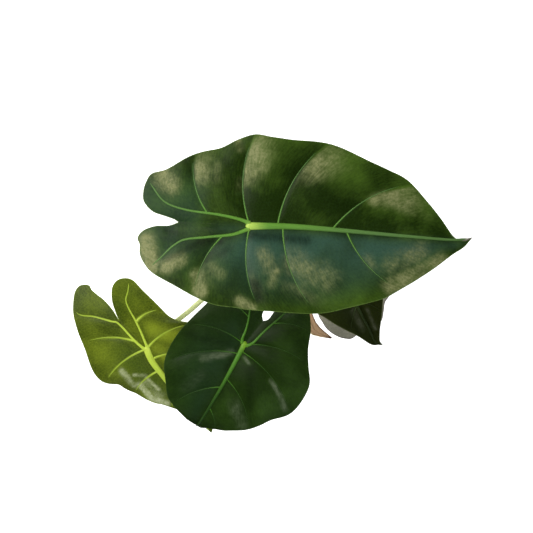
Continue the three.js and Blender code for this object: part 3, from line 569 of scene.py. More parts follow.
def smooth_curve(points, count):
    """Evenly spaced points on a smooth line through the given ones."""
    points = np.array(points, float)
    line = [2 * points[0] - points[1], *points, 2 * points[-1] - points[-2]]
    dense = []
    for p0, p1, p2, p3 in zip(line, line[1:], line[2:], line[3:]):
        d0, d1, d2 = (np.linalg.norm(q - p) ** 0.5 for p, q in ((p0, p1), (p1, p2), (p2, p3)))
        t1 = ((p1 - p0) / d0 - (p2 - p0) / (d0 + d1) + (p2 - p1) / d1) * d1
        t2 = ((p2 - p1) / d1 - (p3 - p1) / (d1 + d2) + (p3 - p2) / d2) * d1
        for t in np.linspace(0, 1, 60, endpoint=False):
            square, cube = 3 * (p2 - p1) - 2 * t1 - t2, 2 * (p1 - p2) + t1 + t2
            dense.append(p1 + t1 * t + square * t ** 2 + cube * t ** 3)
    dense.append(points[-1])
    return respaced(np.array(dense), count)


def respaced(line, count):
    """The same line with its points evenly spaced."""
    reach = np.concatenate(([0], np.cumsum(np.linalg.norm(np.diff(line, axis=0), axis=1))))
    even = np.linspace(0, reach[-1], count)
    return np.stack([np.interp(even, reach, column) for column in line.T], -1)


def mapped_grid(name, rows, columns, places, values):
    """A grid of squares whose corners go to the places given, an array of row by column."""
    bpy.ops.object.select_all(action="DESELECT")
    bpy.ops.mesh.primitive_grid_add(x_subdivisions=rows - 1, y_subdivisions=columns - 1, size=1)
    piece = bpy.context.object
    piece.name = name
    corners = np.empty(3 * len(piece.data.vertices), np.float32)
    piece.data.vertices.foreach_get("co", corners)
    corners = corners.reshape(-1, 3)
    row = np.rint((corners[:, 0] + 0.5) * (rows - 1)).astype(int)
    column = np.rint((corners[:, 1] + 0.5) * (columns - 1)).astype(int)
    piece.data.vertices.foreach_set("co", places[row, column].astype(np.float32).ravel())
    for key, grid in values.items():
        set_values(piece, key, grid[row, column])
    return piece


def set_values(piece, name, values):
    """Keeps a number or a vector at each point of a mesh, for its material."""
    values = np.asarray(values, np.float32)
    kind = "FLOAT_VECTOR" if values.ndim == 2 else "FLOAT"
    made = piece.data.attributes.new(name, kind, "POINT")
    made.data.foreach_set("vector" if values.ndim == 2 else "value", values.ravel())


def joined(pieces, name, reach):
    """Joins pieces into one, and merges the points that meet."""
    bpy.ops.object.select_all(action="DESELECT")
    for piece in pieces:
        piece.select_set(True)
    bpy.context.view_layer.objects.active = pieces[0]
    if len(pieces) > 1:
        bpy.ops.object.join()
    piece = bpy.context.object
    piece.name = name
    bpy.ops.object.mode_set(mode="EDIT")
    bpy.ops.mesh.select_all(action="SELECT")
    bpy.ops.mesh.remove_doubles(threshold=reach)
    bpy.ops.mesh.normals_make_consistent(inside=False)
    bpy.ops.object.mode_set(mode="OBJECT")
    return piece


# A group for fibres and fine flecks that run the length of a stalk, a rib or a dry strip
fibre_group, fibre_in, fibre_out = new_group(
    "lengthwise_fibres",
    [("Round", "Float", 26.0), ("Along", "Float", 3.0)],
    [("Fibres", "Float"), ("Flecks", "Float")],
)
lengthwise = attribute(fibre_group, "lengthwise", "Vector")
stretch = node(fibre_group, "CombineXYZ", {"X": fibre_in["Along"], "Y": fibre_in["Round"], "Z": 1.0})
stretched = node(fibre_group, "VectorMath", {0: lengthwise, 1: stretch.outputs[0]}, operation="MULTIPLY")
fibres = node(fibre_group, "TexNoise", {"Vector": stretched.outputs[0], "Scale": 1.0, "Detail": 3.0})
flecks = node(fibre_group, "TexNoise", {"Vector": lengthwise, "Scale": 9.0, "Detail": 4.0, "Roughness": 0.7})
fibre_group.links.new(fibres.outputs["Fac"], fibre_out["Fibres"])
fibre_group.links.new(flecks.outputs["Fac"], fibre_out["Flecks"])


def stalk_material(name, foot, middle, top):
    """Fleshy skin, from a paler clasping foot to the knob under the blade."""
    material, tree, shader = new_material(name)
    skin = use_group(tree, fibre_group, {"Round": 5.0, "Along": 0.35})
    up_stalk = attribute(tree, "up_stalk")
    tone = blend(tree, ramp(tree, up_stalk, 0.0, 0.35), foot, middle)
    tone = blend(tree, ramp(tree, up_stalk, 0.75, 1.0), tone, top)
    darker = ramp(tree, skin["Fibres"], 0.42, 0.7, 0.0, 0.45)
    tone = blend(tree, darker, tone, (0.11, 0.2, 0.05, 1.0), "MULTIPLY")
    tone = blend(tree, ramp(tree, skin["Flecks"], 0.62, 0.8, 0.0, 0.3), tone, top)
    bump = node(tree, "Bump", {"Height": skin["Fibres"], "Strength": 0.35, "Distance": 0.0003})
    tree.links.new(tone, shader.inputs["Base Color"])
    tree.links.new(ramp(tree, skin["Flecks"], 0.3, 0.7, 0.36, 0.5), shader.inputs["Roughness"])
    tree.links.new(bump.outputs["Normal"], shader.inputs["Normal"])
    shader.inputs["Coat Weight"].default_value = 0.15
    shader.inputs["Coat Roughness"].default_value = 0.3
    return material


stalk_finish = stalk_material(
    "green_stalk", colour(176, 186, 128), colour(126, 156, 78), colour(170, 200, 92),
)
young_stalk_finish = stalk_material(
    "pale_stalk", colour(214, 216, 168), colour(222, 230, 168), colour(200, 216, 110),
)

for name, leaf in LEAVES.items():
    size = leaf["size"]
    hub = np.array(leaf["hub"], float)
    up = upright(leaf, np.array([0.0]), np.array([0.0]))[0]
    foot_turn = math.radians(leaf["foot_angle"])
    foot = np.array((FOOT_CIRCLE * math.cos(foot_turn), FOOT_CIRCLE * math.sin(foot_turn), 0))
    ends = foot + (0, 0, FOOT_DEPTH), foot + (0, 0, FOOT_TOP), hub - 16 * up, hub - 2 * up
    line = smooth_curve([*ends[:2], *leaf["through"], *ends[2:]], CURVE_POINTS)
    reach = np.linalg.norm(np.diff(line, axis=0), axis=1).sum()
    below_knob = 1 - KNOB_DEPTH * size / reach
    shown = respaced(line[: int(CURVE_POINTS * below_knob)], STALK_RINGS)
    radii = along_pairs(STALK_RADII, np.linspace(0, below_knob, STALK_RINGS)) * (0.5 + 0.5 * size)
    knob = np.array(KNOB)
    knob_radii = np.maximum(knob[:, 1] * size, 0.1)
    knob_radii[0] = (knob_radii[0] + radii[-1]) / 2
    centres = np.concatenate((shown, hub + knob[:, :1] * size * up))
    radii = np.concatenate((radii, knob_radii))
    inward = -foot / np.linalg.norm(foot)
    angle = np.linspace(-math.pi, math.pi, STALK_SIDES + 1)
    hollow = 0.3 * np.exp(-(angle / 0.4) ** 2) - 0.1 * np.exp(-((np.abs(angle) - 0.85) / 0.25) ** 2)
    rings = []
    for i, centre in enumerate(centres):
        heading = centres[min(i + 1, len(centres) - 1)] - centres[max(i - 1, 0)]
        heading /= np.linalg.norm(heading)
        inward = inward - heading * inward.dot(heading)
        inward /= np.linalg.norm(inward)
        sideways = np.cross(heading, inward)
        clasp = max(0.0, 1 - i / (CLASP_SHARE * STALK_RINGS)) ** 0.7
        outward = np.cos(angle)[:, None] * inward + np.sin(angle)[:, None] * sideways
        ring = centre + radii[i] * (1 - clasp * hollow)[:, None] * outward
        rings.append(ring / 1000)
    rings = np.array(rings)
    travelled = np.concatenate(([0], np.cumsum(np.linalg.norm(np.diff(centres, axis=0), axis=1))))
    around = np.linspace(0, 2 * math.pi, STALK_SIDES + 1)
    wrapped = travelled[:, None], radii[:, None] * np.sin(around), radii[:, None] * np.cos(around)
    stalk = mapped_grid(name + "_stalk", len(rings), STALK_SIDES + 1, rings, {
        "up_stalk": np.broadcast_to((travelled / travelled[-1])[:, None], rings.shape[:2]),
        "lengthwise": np.stack(np.broadcast_arrays(*wrapped), -1),
    })
    bpy.ops.object.mode_set(mode="EDIT")
    bpy.ops.mesh.select_all(action="SELECT")
    bpy.ops.mesh.remove_doubles(threshold=0.00002)
    bpy.ops.mesh.fill_holes(sides=0)
    bpy.ops.mesh.normals_make_consistent(inside=False)
    bpy.ops.object.mode_set(mode="OBJECT")
    bpy.ops.object.shade_smooth()
    young = name == "leaf_3"
    stalk.data.materials.append(young_stalk_finish if young else stalk_finish)
    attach(stalk, "root")
    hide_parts(name + "_stalk_and_ribs")


# Leaf blades
# Thin, waxy leaf tissue that puffs up a little between its sunken side veins. It is dark and
# glossy above and grey below, and a pale translucent line edges it. The youngest is yellow-green.

BLADE_THICKNESS = 0.62
FINE = 600
ROW_BOW = 0.2
MARGIN_WAVE = 1.3
MARGIN_WAVES = 3.5
VEIN_REACH = 0.86
FRONT_CELLS = 10
WEB_CELL = 20
VEIN_STEPS = 260
GROOVE_WIDTH = 2.4
GROOVE_DEPTH = 0.38
PUFF_WIDTH = 26
PUFF_HEIGHT = 0.35
CRINKLE_WIDTH = 9
CRINKLE_HEIGHT = 0.1
RIB_RIDGE = 0.35
CREASE_DEPTH = 0.4
# faint painted sheen that every cell of a blade carries
FAINT_PAINTED_SHEEN = 0.1


def rounded_line(points):
    """Evenly spaced flat points on a rounded line through the given ones."""
    points = np.array(points, float)
    line = np.concatenate((points[:1], points, points[-1:]))
    dense = []
    for p0, p1, p2, p3 in zip(line, line[1:], line[2:], line[3:]):
        v0, v1 = (p2 - p0) / 2, (p3 - p1) / 2
        t = np.linspace(0, 1, 40, endpoint=False)[:, None]
        cube, square = 2 * p1 - 2 * p2 + v0 + v1, 3 * p2 - 3 * p1 - 2 * v0 - v1
        dense.append(cube * t ** 3 + square * t ** 2 + v0 * t + p1)
    dense.append(points[-1:])
    return respaced(np.concatenate(dense), FINE + 1)


def nearest_index(line, place):
    """Which point of a line lies nearest to a flat place."""
    return int(np.argmin(np.linalg.norm(line - place, axis=1)))


def point_at(line, fraction):
    """Points at fractions of the way along a line."""
    spot = np.clip(fraction, 0, 1) * (len(line) - 1)
    index = np.arange(len(line))
    return np.stack([np.interp(spot, index, line[:, i]) for i in (0, 1)], -1)


def half_lines(leaf, side, midrib):
    """The lines of one half blade, and where its veins leave the ribs and end on the margin."""
    half = leaf[side]
    outline = rounded_line([leaf["tip"], *half["outline"], leaf["notch"]])
    end = nearest_index(outline, half["lobe_end"])
    margin = outline[: end + 1][::-1]
    inner = outline[end:][::-1]
    rib = rounded_line([(0, 0), *half["rib"], outline[end]])

    def on_margin(place):
        return nearest_index(margin, place) / (len(margin) - 1)

    def on_rib(line, a):
        return int(np.argmin(np.abs(line[:, 0] - a))) / (len(line) - 1)

    hub_margin = on_margin(half["hub_vein"])
    front = [(0, hub_margin), *((on_rib(midrib, a), on_margin(at)) for a, at in half["veins"]), (1, 1)]
    back = [(0, hub_margin), *((on_rib(rib, a), on_margin(at)) for a, at in half["back_veins"]), (1, 0)]
    web = on_rib(rib, leaf["notch"][0])
    return dict(
        margin=margin, inner=inner, rib=rib, hub_margin=hub_margin, front=front, back=back,
        web_margin=float(along_pairs(back, web)), sign=1 if side == "left" else -1, outline=outline,
    )


def row_curve(start, end, sign, t):
    """Points on the bowed rows that run from a rib out to the margin."""
    chord = end - start
    bow = np.stack((-chord[..., 1], chord[..., 0]), -1) * sign * ROW_BOW
    pull = (start + end) / 2 + bow
    return start * (1 - t) ** 2 + pull * 2 * t * (1 - t) + end * t ** 2


def phase_of(knots, at):
    """How far a row has come from one vein to the next, from 0 to 1, and which gap it is in."""
    places = np.array([k[0] for k in knots])
    gap = np.clip(np.searchsorted(places, at, side="right") - 1, 0, len(places) - 2)
    return (at - places[gap]) / np.maximum(places[gap + 1] - places[gap], 1e-9), gap


def flat_half(leaf, lines, midrib, stations, counts, side):
    """Grids of one half blade while it is flat, with heights: rib to margin, and rib to notch side."""
    lobe_rows, web_rows, columns, web_columns = counts
    back_places = [k[0] for k in lines["back"]][::-1]
    back_margins = [k[1] for k in lines["back"]][::-1]
    lobe = np.linspace(0, lines["web_margin"], lobe_rows + 1)
    web = np.linspace(lines["web_margin"], lines["hub_margin"], web_rows + 1)
    along_back = np.concatenate((lobe, web[1:]))
    place_back = np.interp(along_back, back_margins, back_places)
    along_front = along_pairs(lines["front"], stations)
    rib = np.concatenate((point_at(lines["rib"], place_back), point_at(midrib, stations[1:])))
    along = np.concatenate((along_back, along_front[1:]))
    margin = point_at(lines["margin"], along)
    phase_back, gap_back = phase_of(lines["back"], place_back)
    phase_front, gap_front = phase_of(lines["front"], stations[1:])
    phase = np.concatenate((phase_back, phase_front))
    gap = np.concatenate((gap_back, FRONT_CELLS + gap_front))
    hub_row = len(along_back) - 1

    t = np.linspace(0, 1, columns + 1) ** 0.92
    flat = row_curve(rib[:, None], margin[:, None], lines["sign"], t[None, :, None])
    length = np.linalg.norm(margin - rib, axis=1)[:, None]
    swell = np.abs(np.sin(math.pi * phase))[:, None] ** 0.75
    wave = MARGIN_WAVE * np.sin(2 * math.pi * MARGIN_WAVES * along) * np.sin(math.pi * along)
    height = leaf["bulge"] * swell * np.sin(math.pi * t) * np.minimum(1, length / 40) + wave[:, None] * t ** 2
    shape = height.shape
    outer = mapped_grid("outer_" + side, shape[0], shape[1], np.concatenate((flat, height[..., None]), -1), {
        "phase": np.broadcast_to(phase[:, None], shape), "gap": np.broadcast_to(gap[:, None], shape),
        "across": np.broadcast_to(t, shape), "along": np.broadcast_to(along[:, None] * 200, shape),
    })

    inward_web = np.linspace(1, 0, web_rows + 1)[1:, None] * np.array(leaf["notch"], float)
    inner = np.concatenate((point_at(lines["inner"], np.linspace(1, 0, lobe_rows + 1)), inward_web))
    t = np.linspace(0, 1, web_columns + 1)
    rib = rib[: hub_row + 1]
    flat = rib[:, None] + (inner - rib)[:, None] * t[None, :, None]
    length = np.linalg.norm(inner - rib, axis=1)[:, None]
    height = 0.5 * leaf["bulge"] * np.sin(math.pi * t) * np.minimum(1, length / 25)
    shape = height.shape
    webbed = mapped_grid("web_" + side, shape[0], shape[1], np.concatenate((flat, height[..., None]), -1), {
        "phase": np.full(shape, 0.5), "gap": np.full(shape, WEB_CELL),
        "across": np.broadcast_to(0.4 * t, shape),
        "along": np.broadcast_to(along[: hub_row + 1, None] * 200, shape),
    })
    return [outer, webbed]


def tree_of(points):
    """Search tree over flat points."""
    found = kdtree.KDTree(len(points))
    for i, (a, b) in enumerate(points):
        found.insert((a, b, 0), i)
    found.balance()
    return found


def flat_mesh(piece):
    """Corners of a flat blade as an array."""
    corners = np.empty(3 * len(piece.data.vertices), np.float32)
    piece.data.vertices.foreach_get("co", corners)
    return corners.reshape(-1, 3).astype(float)


def read_values(piece, name):
    """Numbers that a mesh carries at its points."""
    values = np.empty(len(piece.data.vertices), np.float32)
    piece.data.attributes[name].data.foreach_get("value", values)
    return values.astype(float)


def noise_value(tree, place, scale, detail, roughness):
    """Soft noise from 0 to 1 at a place."""
    settings = {"Vector": place, "Scale": scale, "Detail": detail, "Roughness": roughness}
    return node(tree, "TexNoise", settings).outputs["Fac"]


# A group for living leaf tissue: broad mottle, painted sheen patches, painted sky reflection, painted shade
# in folds, faint net of veins, pale edge line
tissue_group, tissue_in, tissue_out = new_group(
    "leaf_tissue",
    [("Deep", "Color", (0, 0, 0, 1)), ("Fresh", "Color", (0, 0, 0, 1)), ("Painted Sheen", "Color", (0, 0, 0, 1)),
     ("Painted Sky Reflection", "Color", (0, 0, 0, 1)), ("Vein", "Color", (0, 0, 0, 1)), ("Edge", "Color", (0, 0, 0, 1)),
     ("Dim Painted Sheen", "Color", (0, 0, 0, 1))],
    [("Color", "Color"), ("Roughness", "Float"), ("Height", "Float")],
)
tree = tissue_group
flat_place = attribute(tree, "flat", "Vector")
row_place = attribute(tree, "rows", "Vector")
mottle = noise_value(tree, flat_place, 0.03, 3.0, 0.5)
brushed = noise_value(tree, row_place, 1.0, 4.0, 0.55)
speckle = noise_value(tree, flat_place, 0.5, 5.0, 0.65)
cloud = noise_value(tree, flat_place, 0.12, 4.0, 0.6)
net = node(
    tree, "TexVoronoi", {"Vector": flat_place, "Scale": 0.42, "Randomness": 0.9}, feature="DISTANCE_TO_EDGE",
).outputs["Distance"]
fresh = math_node(tree, "ADD", ramp(tree, mottle, 0.4, 0.68, -0.1, 0.34), attribute(tree, "fresh_green_and_sheen_halo"))
fresh = math_node(tree, "ADD", fresh, ramp(tree, brushed, 0.35, 0.65, -0.1, 0.1))
tone = blend(tree, fresh, tissue_in["Deep"], tissue_in["Fresh"])
# painted reflection: a cool blue-green tint where the blade would mirror the sky
painted_sky_reflection = math_node(tree, "MULTIPLY", attribute(tree, "painted_sky_reflection"), ramp(tree, mottle, 0.3, 0.6, 0.5, 1.0))
tone = blend(tree, painted_sky_reflection, tone, tissue_in["Painted Sky Reflection"])
pores = ramp(tree, speckle, 0.32, 0.62, 0.3, 0.0)
tone = blend(tree, pores, tone, (0.35, 0.4, 0.35, 1.0), "MULTIPLY")
fold_shade = math_node(tree, "MULTIPLY", attribute(tree, "painted_fold_shade"), ramp(tree, brushed, 0.3, 0.6, 0.6, 1.0))
sheen_breaks = math_node(tree, "MULTIPLY", ramp(tree, brushed, 0.3, 0.7, 0.75, 1.15),
                   ramp(tree, cloud, 0.3, 0.7, 0.65, 1.25))
# painted highlight: sheen patches lighten the leaf where its waxy skin would catch the light
sheen_mask = ramp(tree, math_node(tree, "MULTIPLY", attribute(tree, "painted_sheen"), sheen_breaks), 0.08, 1.2)
sheen_tone = blend(tree, ramp(tree, speckle, 0.3, 0.7, 0.15, 0.85), tissue_in["Dim Painted Sheen"], tissue_in["Painted Sheen"])
tone = blend(tree, sheen_mask, tone, sheen_tone)
# painted shade: the folds and the hollow under the midrib are darkened
tone = blend(tree, fold_shade, tone, (0.12, 0.16, 0.15, 1.0), "MULTIPLY")
tone = blend(tree, ramp(tree, net, 0.0, 0.1, 0.12, 0.0), tone, tissue_in["Vein"])
tone = blend(tree, attribute(tree, "lateral"), tone, tissue_in["Vein"])
tone = blend(tree, ramp(tree, attribute(tree, "from_edge"), 0.1, 0.9, 0.8, 0.0), tone, tissue_in["Edge"])
relief = math_node(tree, "MULTIPLY", ramp(tree, net, 0.0, 0.25), 0.35)
relief = math_node(tree, "ADD", relief, math_node(tree, "MULTIPLY", brushed, 0.8))
tree.links.new(tone, tissue_out["Color"])
tree.links.new(ramp(tree, sheen_mask, 0.0, 1.0, 0.34, 0.44), tissue_out["Roughness"])
tree.links.new(relief, tissue_out["Height"])


def blade_material(name, deep, fresh, dim_painted_sheen, painted_sheen, painted_sky_reflection, vein, edge, gloss):
    """Finish of one face of a blade."""
    material, tree, shader = new_material(name)
    tissue = use_group(tree, tissue_group, {
        "Deep": deep, "Fresh": fresh, "Dim Painted Sheen": dim_painted_sheen, "Painted Sheen": painted_sheen, "Painted Sky Reflection": painted_sky_reflection, "Vein": vein, "Edge": edge,
    })
    bump = node(tree, "Bump", {"Height": tissue["Height"], "Strength": 0.3, "Distance": 0.0002})
    tree.links.new(tissue["Color"], shader.inputs["Base Color"])
    tree.links.new(tissue["Roughness"], shader.inputs["Roughness"])
    tree.links.new(bump.outputs["Normal"], shader.inputs["Normal"])
    shader.inputs["Specular IOR Level"].default_value = gloss
    return material


# Each face lists deep, fresh, dim sheen, sheen, sky reflection, vein and edge colours; the sheen colours are
# painted highlights and the sky reflection colour is a painted reflection
UNDER_TONES = (colour(138, 136, 122), colour(152, 150, 134), colour(154, 152, 136), colour(164, 162, 148),
               colour(128, 126, 122), colour(156, 158, 134), colour(70, 44, 56))
FINISHES = {
    "leaf_1": (
        (colour(22, 37, 4), colour(62, 86, 24), colour(88, 96, 52), colour(130, 130, 92),
         colour(45, 71, 58),
         colour(50, 80, 34), colour(84, 106, 48)), UNDER_TONES),
    "leaf_2": (
        (colour(23, 40, 7), colour(42, 66, 18), colour(66, 78, 54), colour(90, 98, 78),
         colour(26, 46, 22),
         colour(38, 62, 22), colour(46, 66, 28)), UNDER_TONES),
    "leaf_3": (
        (colour(54, 66, 8), colour(112, 126, 28), colour(134, 142, 92), colour(176, 180, 150),
         colour(58, 74, 16),
         colour(150, 172, 60), colour(110, 126, 40)),
        (colour(120, 136, 66), colour(136, 152, 80), colour(140, 152, 94), colour(150, 160, 110),
         colour(110, 128, 70), colour(170, 186, 110), colour(140, 156, 70))),
    "leaf_4": (
        (colour(31, 38, 4), colour(44, 51, 14), colour(62, 64, 44), colour(96, 98, 82),
         colour(32, 40, 12),
         colour(42, 52, 22), colour(84, 92, 50)), UNDER_TONES),
    "leaf_5": (
        (colour(31, 38, 4), colour(44, 51, 14), colour(62, 64, 44), colour(96, 98, 82),
         colour(32, 40, 12),
         colour(42, 52, 22), colour(84, 60, 60)), UNDER_TONES),
}

# Painted highlights: waxy patches painted light where the skin would catch the lamps, as flat start and end
# points, width in millimetres and strength
PAINTED_SHEEN_STREAKS = {
    "leaf_1": (
        (-68, 33, -63, 27, 9, 0.95), (-30, 44, -28, 34, 7, 0.45), (94, 26, 104, 30, 6, 0.85),
        (-14, 64, -11, 58, 4, 0.6), (-10, 34, -9, 26, 5, 0.35), (-78, -16, -73, -35, 7, 1.3),
        (-62, -36, -51, -29, 6, 1.0), (-37, -41, -34, -53, 6, 1.1), (-26, -34, -20, -38, 6, 0.5),
        (11, -20, 18, -32, 8, 0.6), (22, -34, 19, -42, 5, 0.8), (-4, -58, 6, -62, 5, 0.8),
        (36, -26, 60, -36, 13, 0.62),
        (30, -44, 50, -50, 8, 0.4), (92, -18, 96, -24, 6, 0.4), (112, -38, 150, -18, 9, 0.85),
        (112, -22, 134, -12, 11, 0.6),
    ),
    "leaf_2": (
        (11, -6, 27, -25, 4, 0.75), (9, 5, 12, 11, 1.5, 1.2), (15, 34, 22, 46, 2.4, 0.75),
        (22, 46, 31, 57, 3.2, 0.6),
        (50, 18, 62, 32, 8, 0.45), (40, -20, 56, -24, 8, 0.3),
    ),
    "leaf_3": (
        (2, -31, 21, -34, 4, 0.8), (23, -29, 40, -30, 4, 1.3), (40, -30, 52, -24, 4, 1.3),
        (20, -19, 36, -18, 2.5, 0.9),
        (12, -25, 18, -18, 2.5, 0.8), (24, -24, 40, -23, 9, 0.5),
    ),
    "leaf_4": ((59, 5, 90, 4, 2, 0.6), (52, -6, 82, -6, 4, 0.45)),
}

# Fresher green patches, given in the same way
FRESH_PATCHES = {
    "leaf_1": (
        (62, 42, 84, 42, 12, 0.4), (80, 46, 100, 46, 12, 0.25), (-38, -7, -50, -8, 8, 0.4),
        (120, -36, 150, -16, 12, 0.7),
        (62, -56, 110, -46, 13, 0.55), (14, -62, 60, -58, 9, 0.35), (-60, 40, -30, 48, 8, 0.3),
    ),
    "leaf_2": ((-14, 30, 0, 44, 10, 0.45), (20, 50, 40, 40, 12, 0.4)),
    "leaf_3": (
        (10, 8, 40, 8, 9, 0.8), (-10, 20, 8, 34, 8, 0.9), (-20, -34, 4, -30, 12, 0.5),
        (-52, -26, -36, -28, 12, 0.35),
    ),
}

# Folds and hollows, given in the same way: they sink the blade a little, and their dark colour is painted
# shade
FOLDS_WITH_PAINTED_SHADE = {
    "leaf_1": (
        (0, -7, 44, -8, 4, 0.8), (-22, -13, -38, -15, 3, 0.75), (-40, -17, -60, -30, 2.5, 0.5),
        (-14, -18, -22, -24, 3, 0.4),
        (-52, 46, -46, 38, 3, 0.55), (-11, 62, -8, 54, 2.5, 0.5), (7, -44, 10, -54, 4, 0.8),
        (-30, -26, -38, -32, 3, 0.4),
        (56, 30, 70, 22, 8, 0.35), (34, 44, 36, 26, 8, 0.35), (-22, 48, -20, 40, 4, 0.35),
        (134, -26, 140, -24, 3, 0.3),
        (-64, -8, -50, -10, 2, 0.4),
    ),
    "leaf_2": (
        (4, -4, 26, -3, 2, 0.5), (14, 14, 44, 30, 4, 0.4), (6, -12, 14, -44, 4, 0.35),
        (-6, 6, -18, 20, 3, 0.35),
        (44, 4, 70, 4, 4, 0.3),
    ),
    "leaf_3": (
        (-30, 14, -22, 24, 6, 0.45), (-6, 6, -24, 14, 2, 0.4), (-10, -10, -40, -20, 2, 0.35),
        (8, 4, 40, -2, 2, 0.3),
    ),
    "leaf_4": ((50, 2, 96, 0, 1.5, 0.5), (60, -12, 84, -10, 2, 0.4)),
}

# How strongly each cell between two side veins carries painted sheen, from the stalk to the tip and to the
# lobe, where that isn't faint
CELL_PAINTED_SHEEN = {
    "leaf_1": dict(left=((1.3, 0.9, 0.9), (1.0, 0.4)), right=((0.35, 0.35, 0.3), (0.35, 0.3))),
    "leaf_2": dict(left=((0.0, 0.1, 0.0, 0.0), (0.0, 0.0)), right=((0.0, 0.1, 0.0), (0.0, 0.0))),
    "leaf_3": dict(left=((0.1, 0.1, 0.2), (0.1, 0.1)), right=((0.2, 0.2, 0.1), (0.1, 0.1))),
}


def patch(flat, start_a, start_b, end_a, end_b, width):
    """How near flat points lie to a short line, from 1 on it to 0 well away."""
    run = np.array((end_a - start_a, end_b - start_b), float)
    offset = flat[:, :2] - (start_a, start_b)
    share = np.clip(offset @ run / run.dot(run), 0, 1)
    return np.exp(-(np.linalg.norm(offset - share[:, None] * run, axis=1) / width) ** 2)


def strongest(flat, patches):
    """The strongest of some listed patches at each flat point."""
    found = np.zeros(len(flat))
    for *line, width, amount in patches:
        found = np.maximum(found, amount * patch(flat, *line, width))
    return found


def lateral_lines(lines, midrib):
    """The lines that the side veins of one half blade run along."""
    laterals = []
    for key, line in (("front", midrib), ("back", lines["rib"])):
        for i, (place, at) in enumerate(lines[key][:-1]):
            if key == "back" and i == 0:
                continue
            start = point_at(line, place)
            end = point_at(lines["margin"], at)
            t = np.linspace(0, VEIN_REACH, VEIN_STEPS)[:, None]
            laterals.append(row_curve(start[None], end[None], lines["sign"], t))
    return laterals


def distances(flat, laterals, ribs, outlines):
    """How far flat points lie from a side vein, along it, from a rib and from the margin."""
    lateral_tree, rib_tree, edge_tree = (tree_of(np.concatenate(k)) for k in (laterals, ribs, outlines))
    from_vein, vein_part, from_rib, from_edge = np.empty((4, len(flat)))
    for i, (a, b, _) in enumerate(flat):
        _, index, from_vein[i] = lateral_tree.find((a, b, 0))
        vein_part[i] = (index % VEIN_STEPS) / VEIN_STEPS
        from_rib[i] = rib_tree.find((a, b, 0))[2]
        from_edge[i] = edge_tree.find((a, b, 0))[2]
    return from_vein, vein_part, from_rib, from_edge


def relief_height(leaf, name, flat, from_vein, vein_part, from_rib):
    """Height of the blade's skin: puffed cells, sunken side veins, folds and a ridge by the ribs."""
    size, yaw = leaf["size"], leaf["yaw"]
    puff, crinkle = np.empty((2, len(flat)))
    for i, (a, b, _) in enumerate(flat):
        puff[i] = noise.fractal(Vector((a / PUFF_WIDTH, b / PUFF_WIDTH, yaw)), 1.0, 2.0, 2)
        crinkle[i] = noise.fractal(Vector((a / CRINKLE_WIDTH, b / CRINKLE_WIDTH, yaw + 7)), 0.9, 2.1, 3)
    groove = np.exp(-(from_vein / (GROOVE_WIDTH * size)) ** 2) * (1 - 0.6 * vein_part)
    calm = np.clip(from_rib / 9, 0, 1)
    height = flat[:, 2] - GROOVE_DEPTH * size * groove * calm
    height += (PUFF_HEIGHT * puff + CRINKLE_HEIGHT * crinkle) * size * calm
    height += RIB_RIDGE * size * np.exp(-from_rib / 2.5)
    for *line, width, amount in FOLDS_WITH_PAINTED_SHADE.get(name, ()):
        height -= CREASE_DEPTH * amount * size * patch(flat, *line, width) * calm
    return height


def tint_values(name, flat, across, phase, gap, from_rib):
    """Painted sheen, fresh green with painted sheen halos, painted sky reflection and painted shade in folds
    at each flat point.
    """
    strength = np.full(len(flat), FAINT_PAINTED_SHEEN)
    for side, sign in (("left", 1), ("right", -1)):
        for first, cells in zip((FRONT_CELLS, 0), CELL_PAINTED_SHEEN.get(name, {}).get(side, ())):
            for i, amount in enumerate(cells):
                strength[(gap == first + i) & (flat[:, 1] * sign > 0)] = amount
    from_back = np.where(gap < FRONT_CELLS, 1 - phase, phase)
    # painted sheen: a light patch on the tip-ward side of each side vein, where the puffed skin faces the
    # lamps
    painted_sheen = strength * np.clip(from_back / 0.05, 0, 1) * np.exp(-(from_back / 0.38) ** 2)
    painted_sheen = painted_sheen * np.clip((across - 0.36) / 0.25, 0, 1) * (1 - 0.6 * np.clip((across - 0.75) / 0.25, 0, 1))
    # fresh green: partly a wider halo of painted sheen round each sheen cell and streak, plus listed fresh
    # patches and a fresher margin zone
    fresh_green_and_sheen_halo = strength * np.exp(-(from_back / 0.7) ** 2) * np.clip((across - 0.3) / 0.4, 0, 1)
    fresh_green_and_sheen_halo = 0.55 * fresh_green_and_sheen_halo + 0.12 * np.clip((across - 0.7) / 0.3, 0, 1)
    sheen_streaks = PAINTED_SHEEN_STREAKS.get(name, ())
    painted_sheen = np.maximum(painted_sheen, strongest(flat, sheen_streaks))
    sheen_halos = [(*line, 1.8 * width, 0.5 * amount) for *line, width, amount in sheen_streaks]
    fresh_green_and_sheen_halo = np.maximum(fresh_green_and_sheen_halo, strongest(flat, (*sheen_halos, *FRESH_PATCHES.get(name, ()))))
    # painted reflection of the sky on the lower half and on the lobe web; it thins right by the midrib, where
    # the deep colour is left as painted shadow under the rib
    sky_reflection_mask = np.clip((4 - flat[:, 1]) / 8, 0, 1) * np.clip((flat[:, 0] + 40) / 40, 0.2, 1)
    sky_reflection_mask *= np.clip(0.25 + from_rib / 12, 0, 1)
    sky_reflection_mask = np.maximum(sky_reflection_mask, 0.35 * np.clip((-30 - flat[:, 0]) / 15, 0, 1))
    return {
        "painted_sheen": np.clip(painted_sheen, 0, 1), "fresh_green_and_sheen_halo": fresh_green_and_sheen_halo, "painted_sky_reflection": np.clip(1.5 - 1.6 * across, 0, 1) * sky_reflection_mask,
        "painted_fold_shade": strongest(flat, FOLDS_WITH_PAINTED_SHADE.get(name, ())),
    }


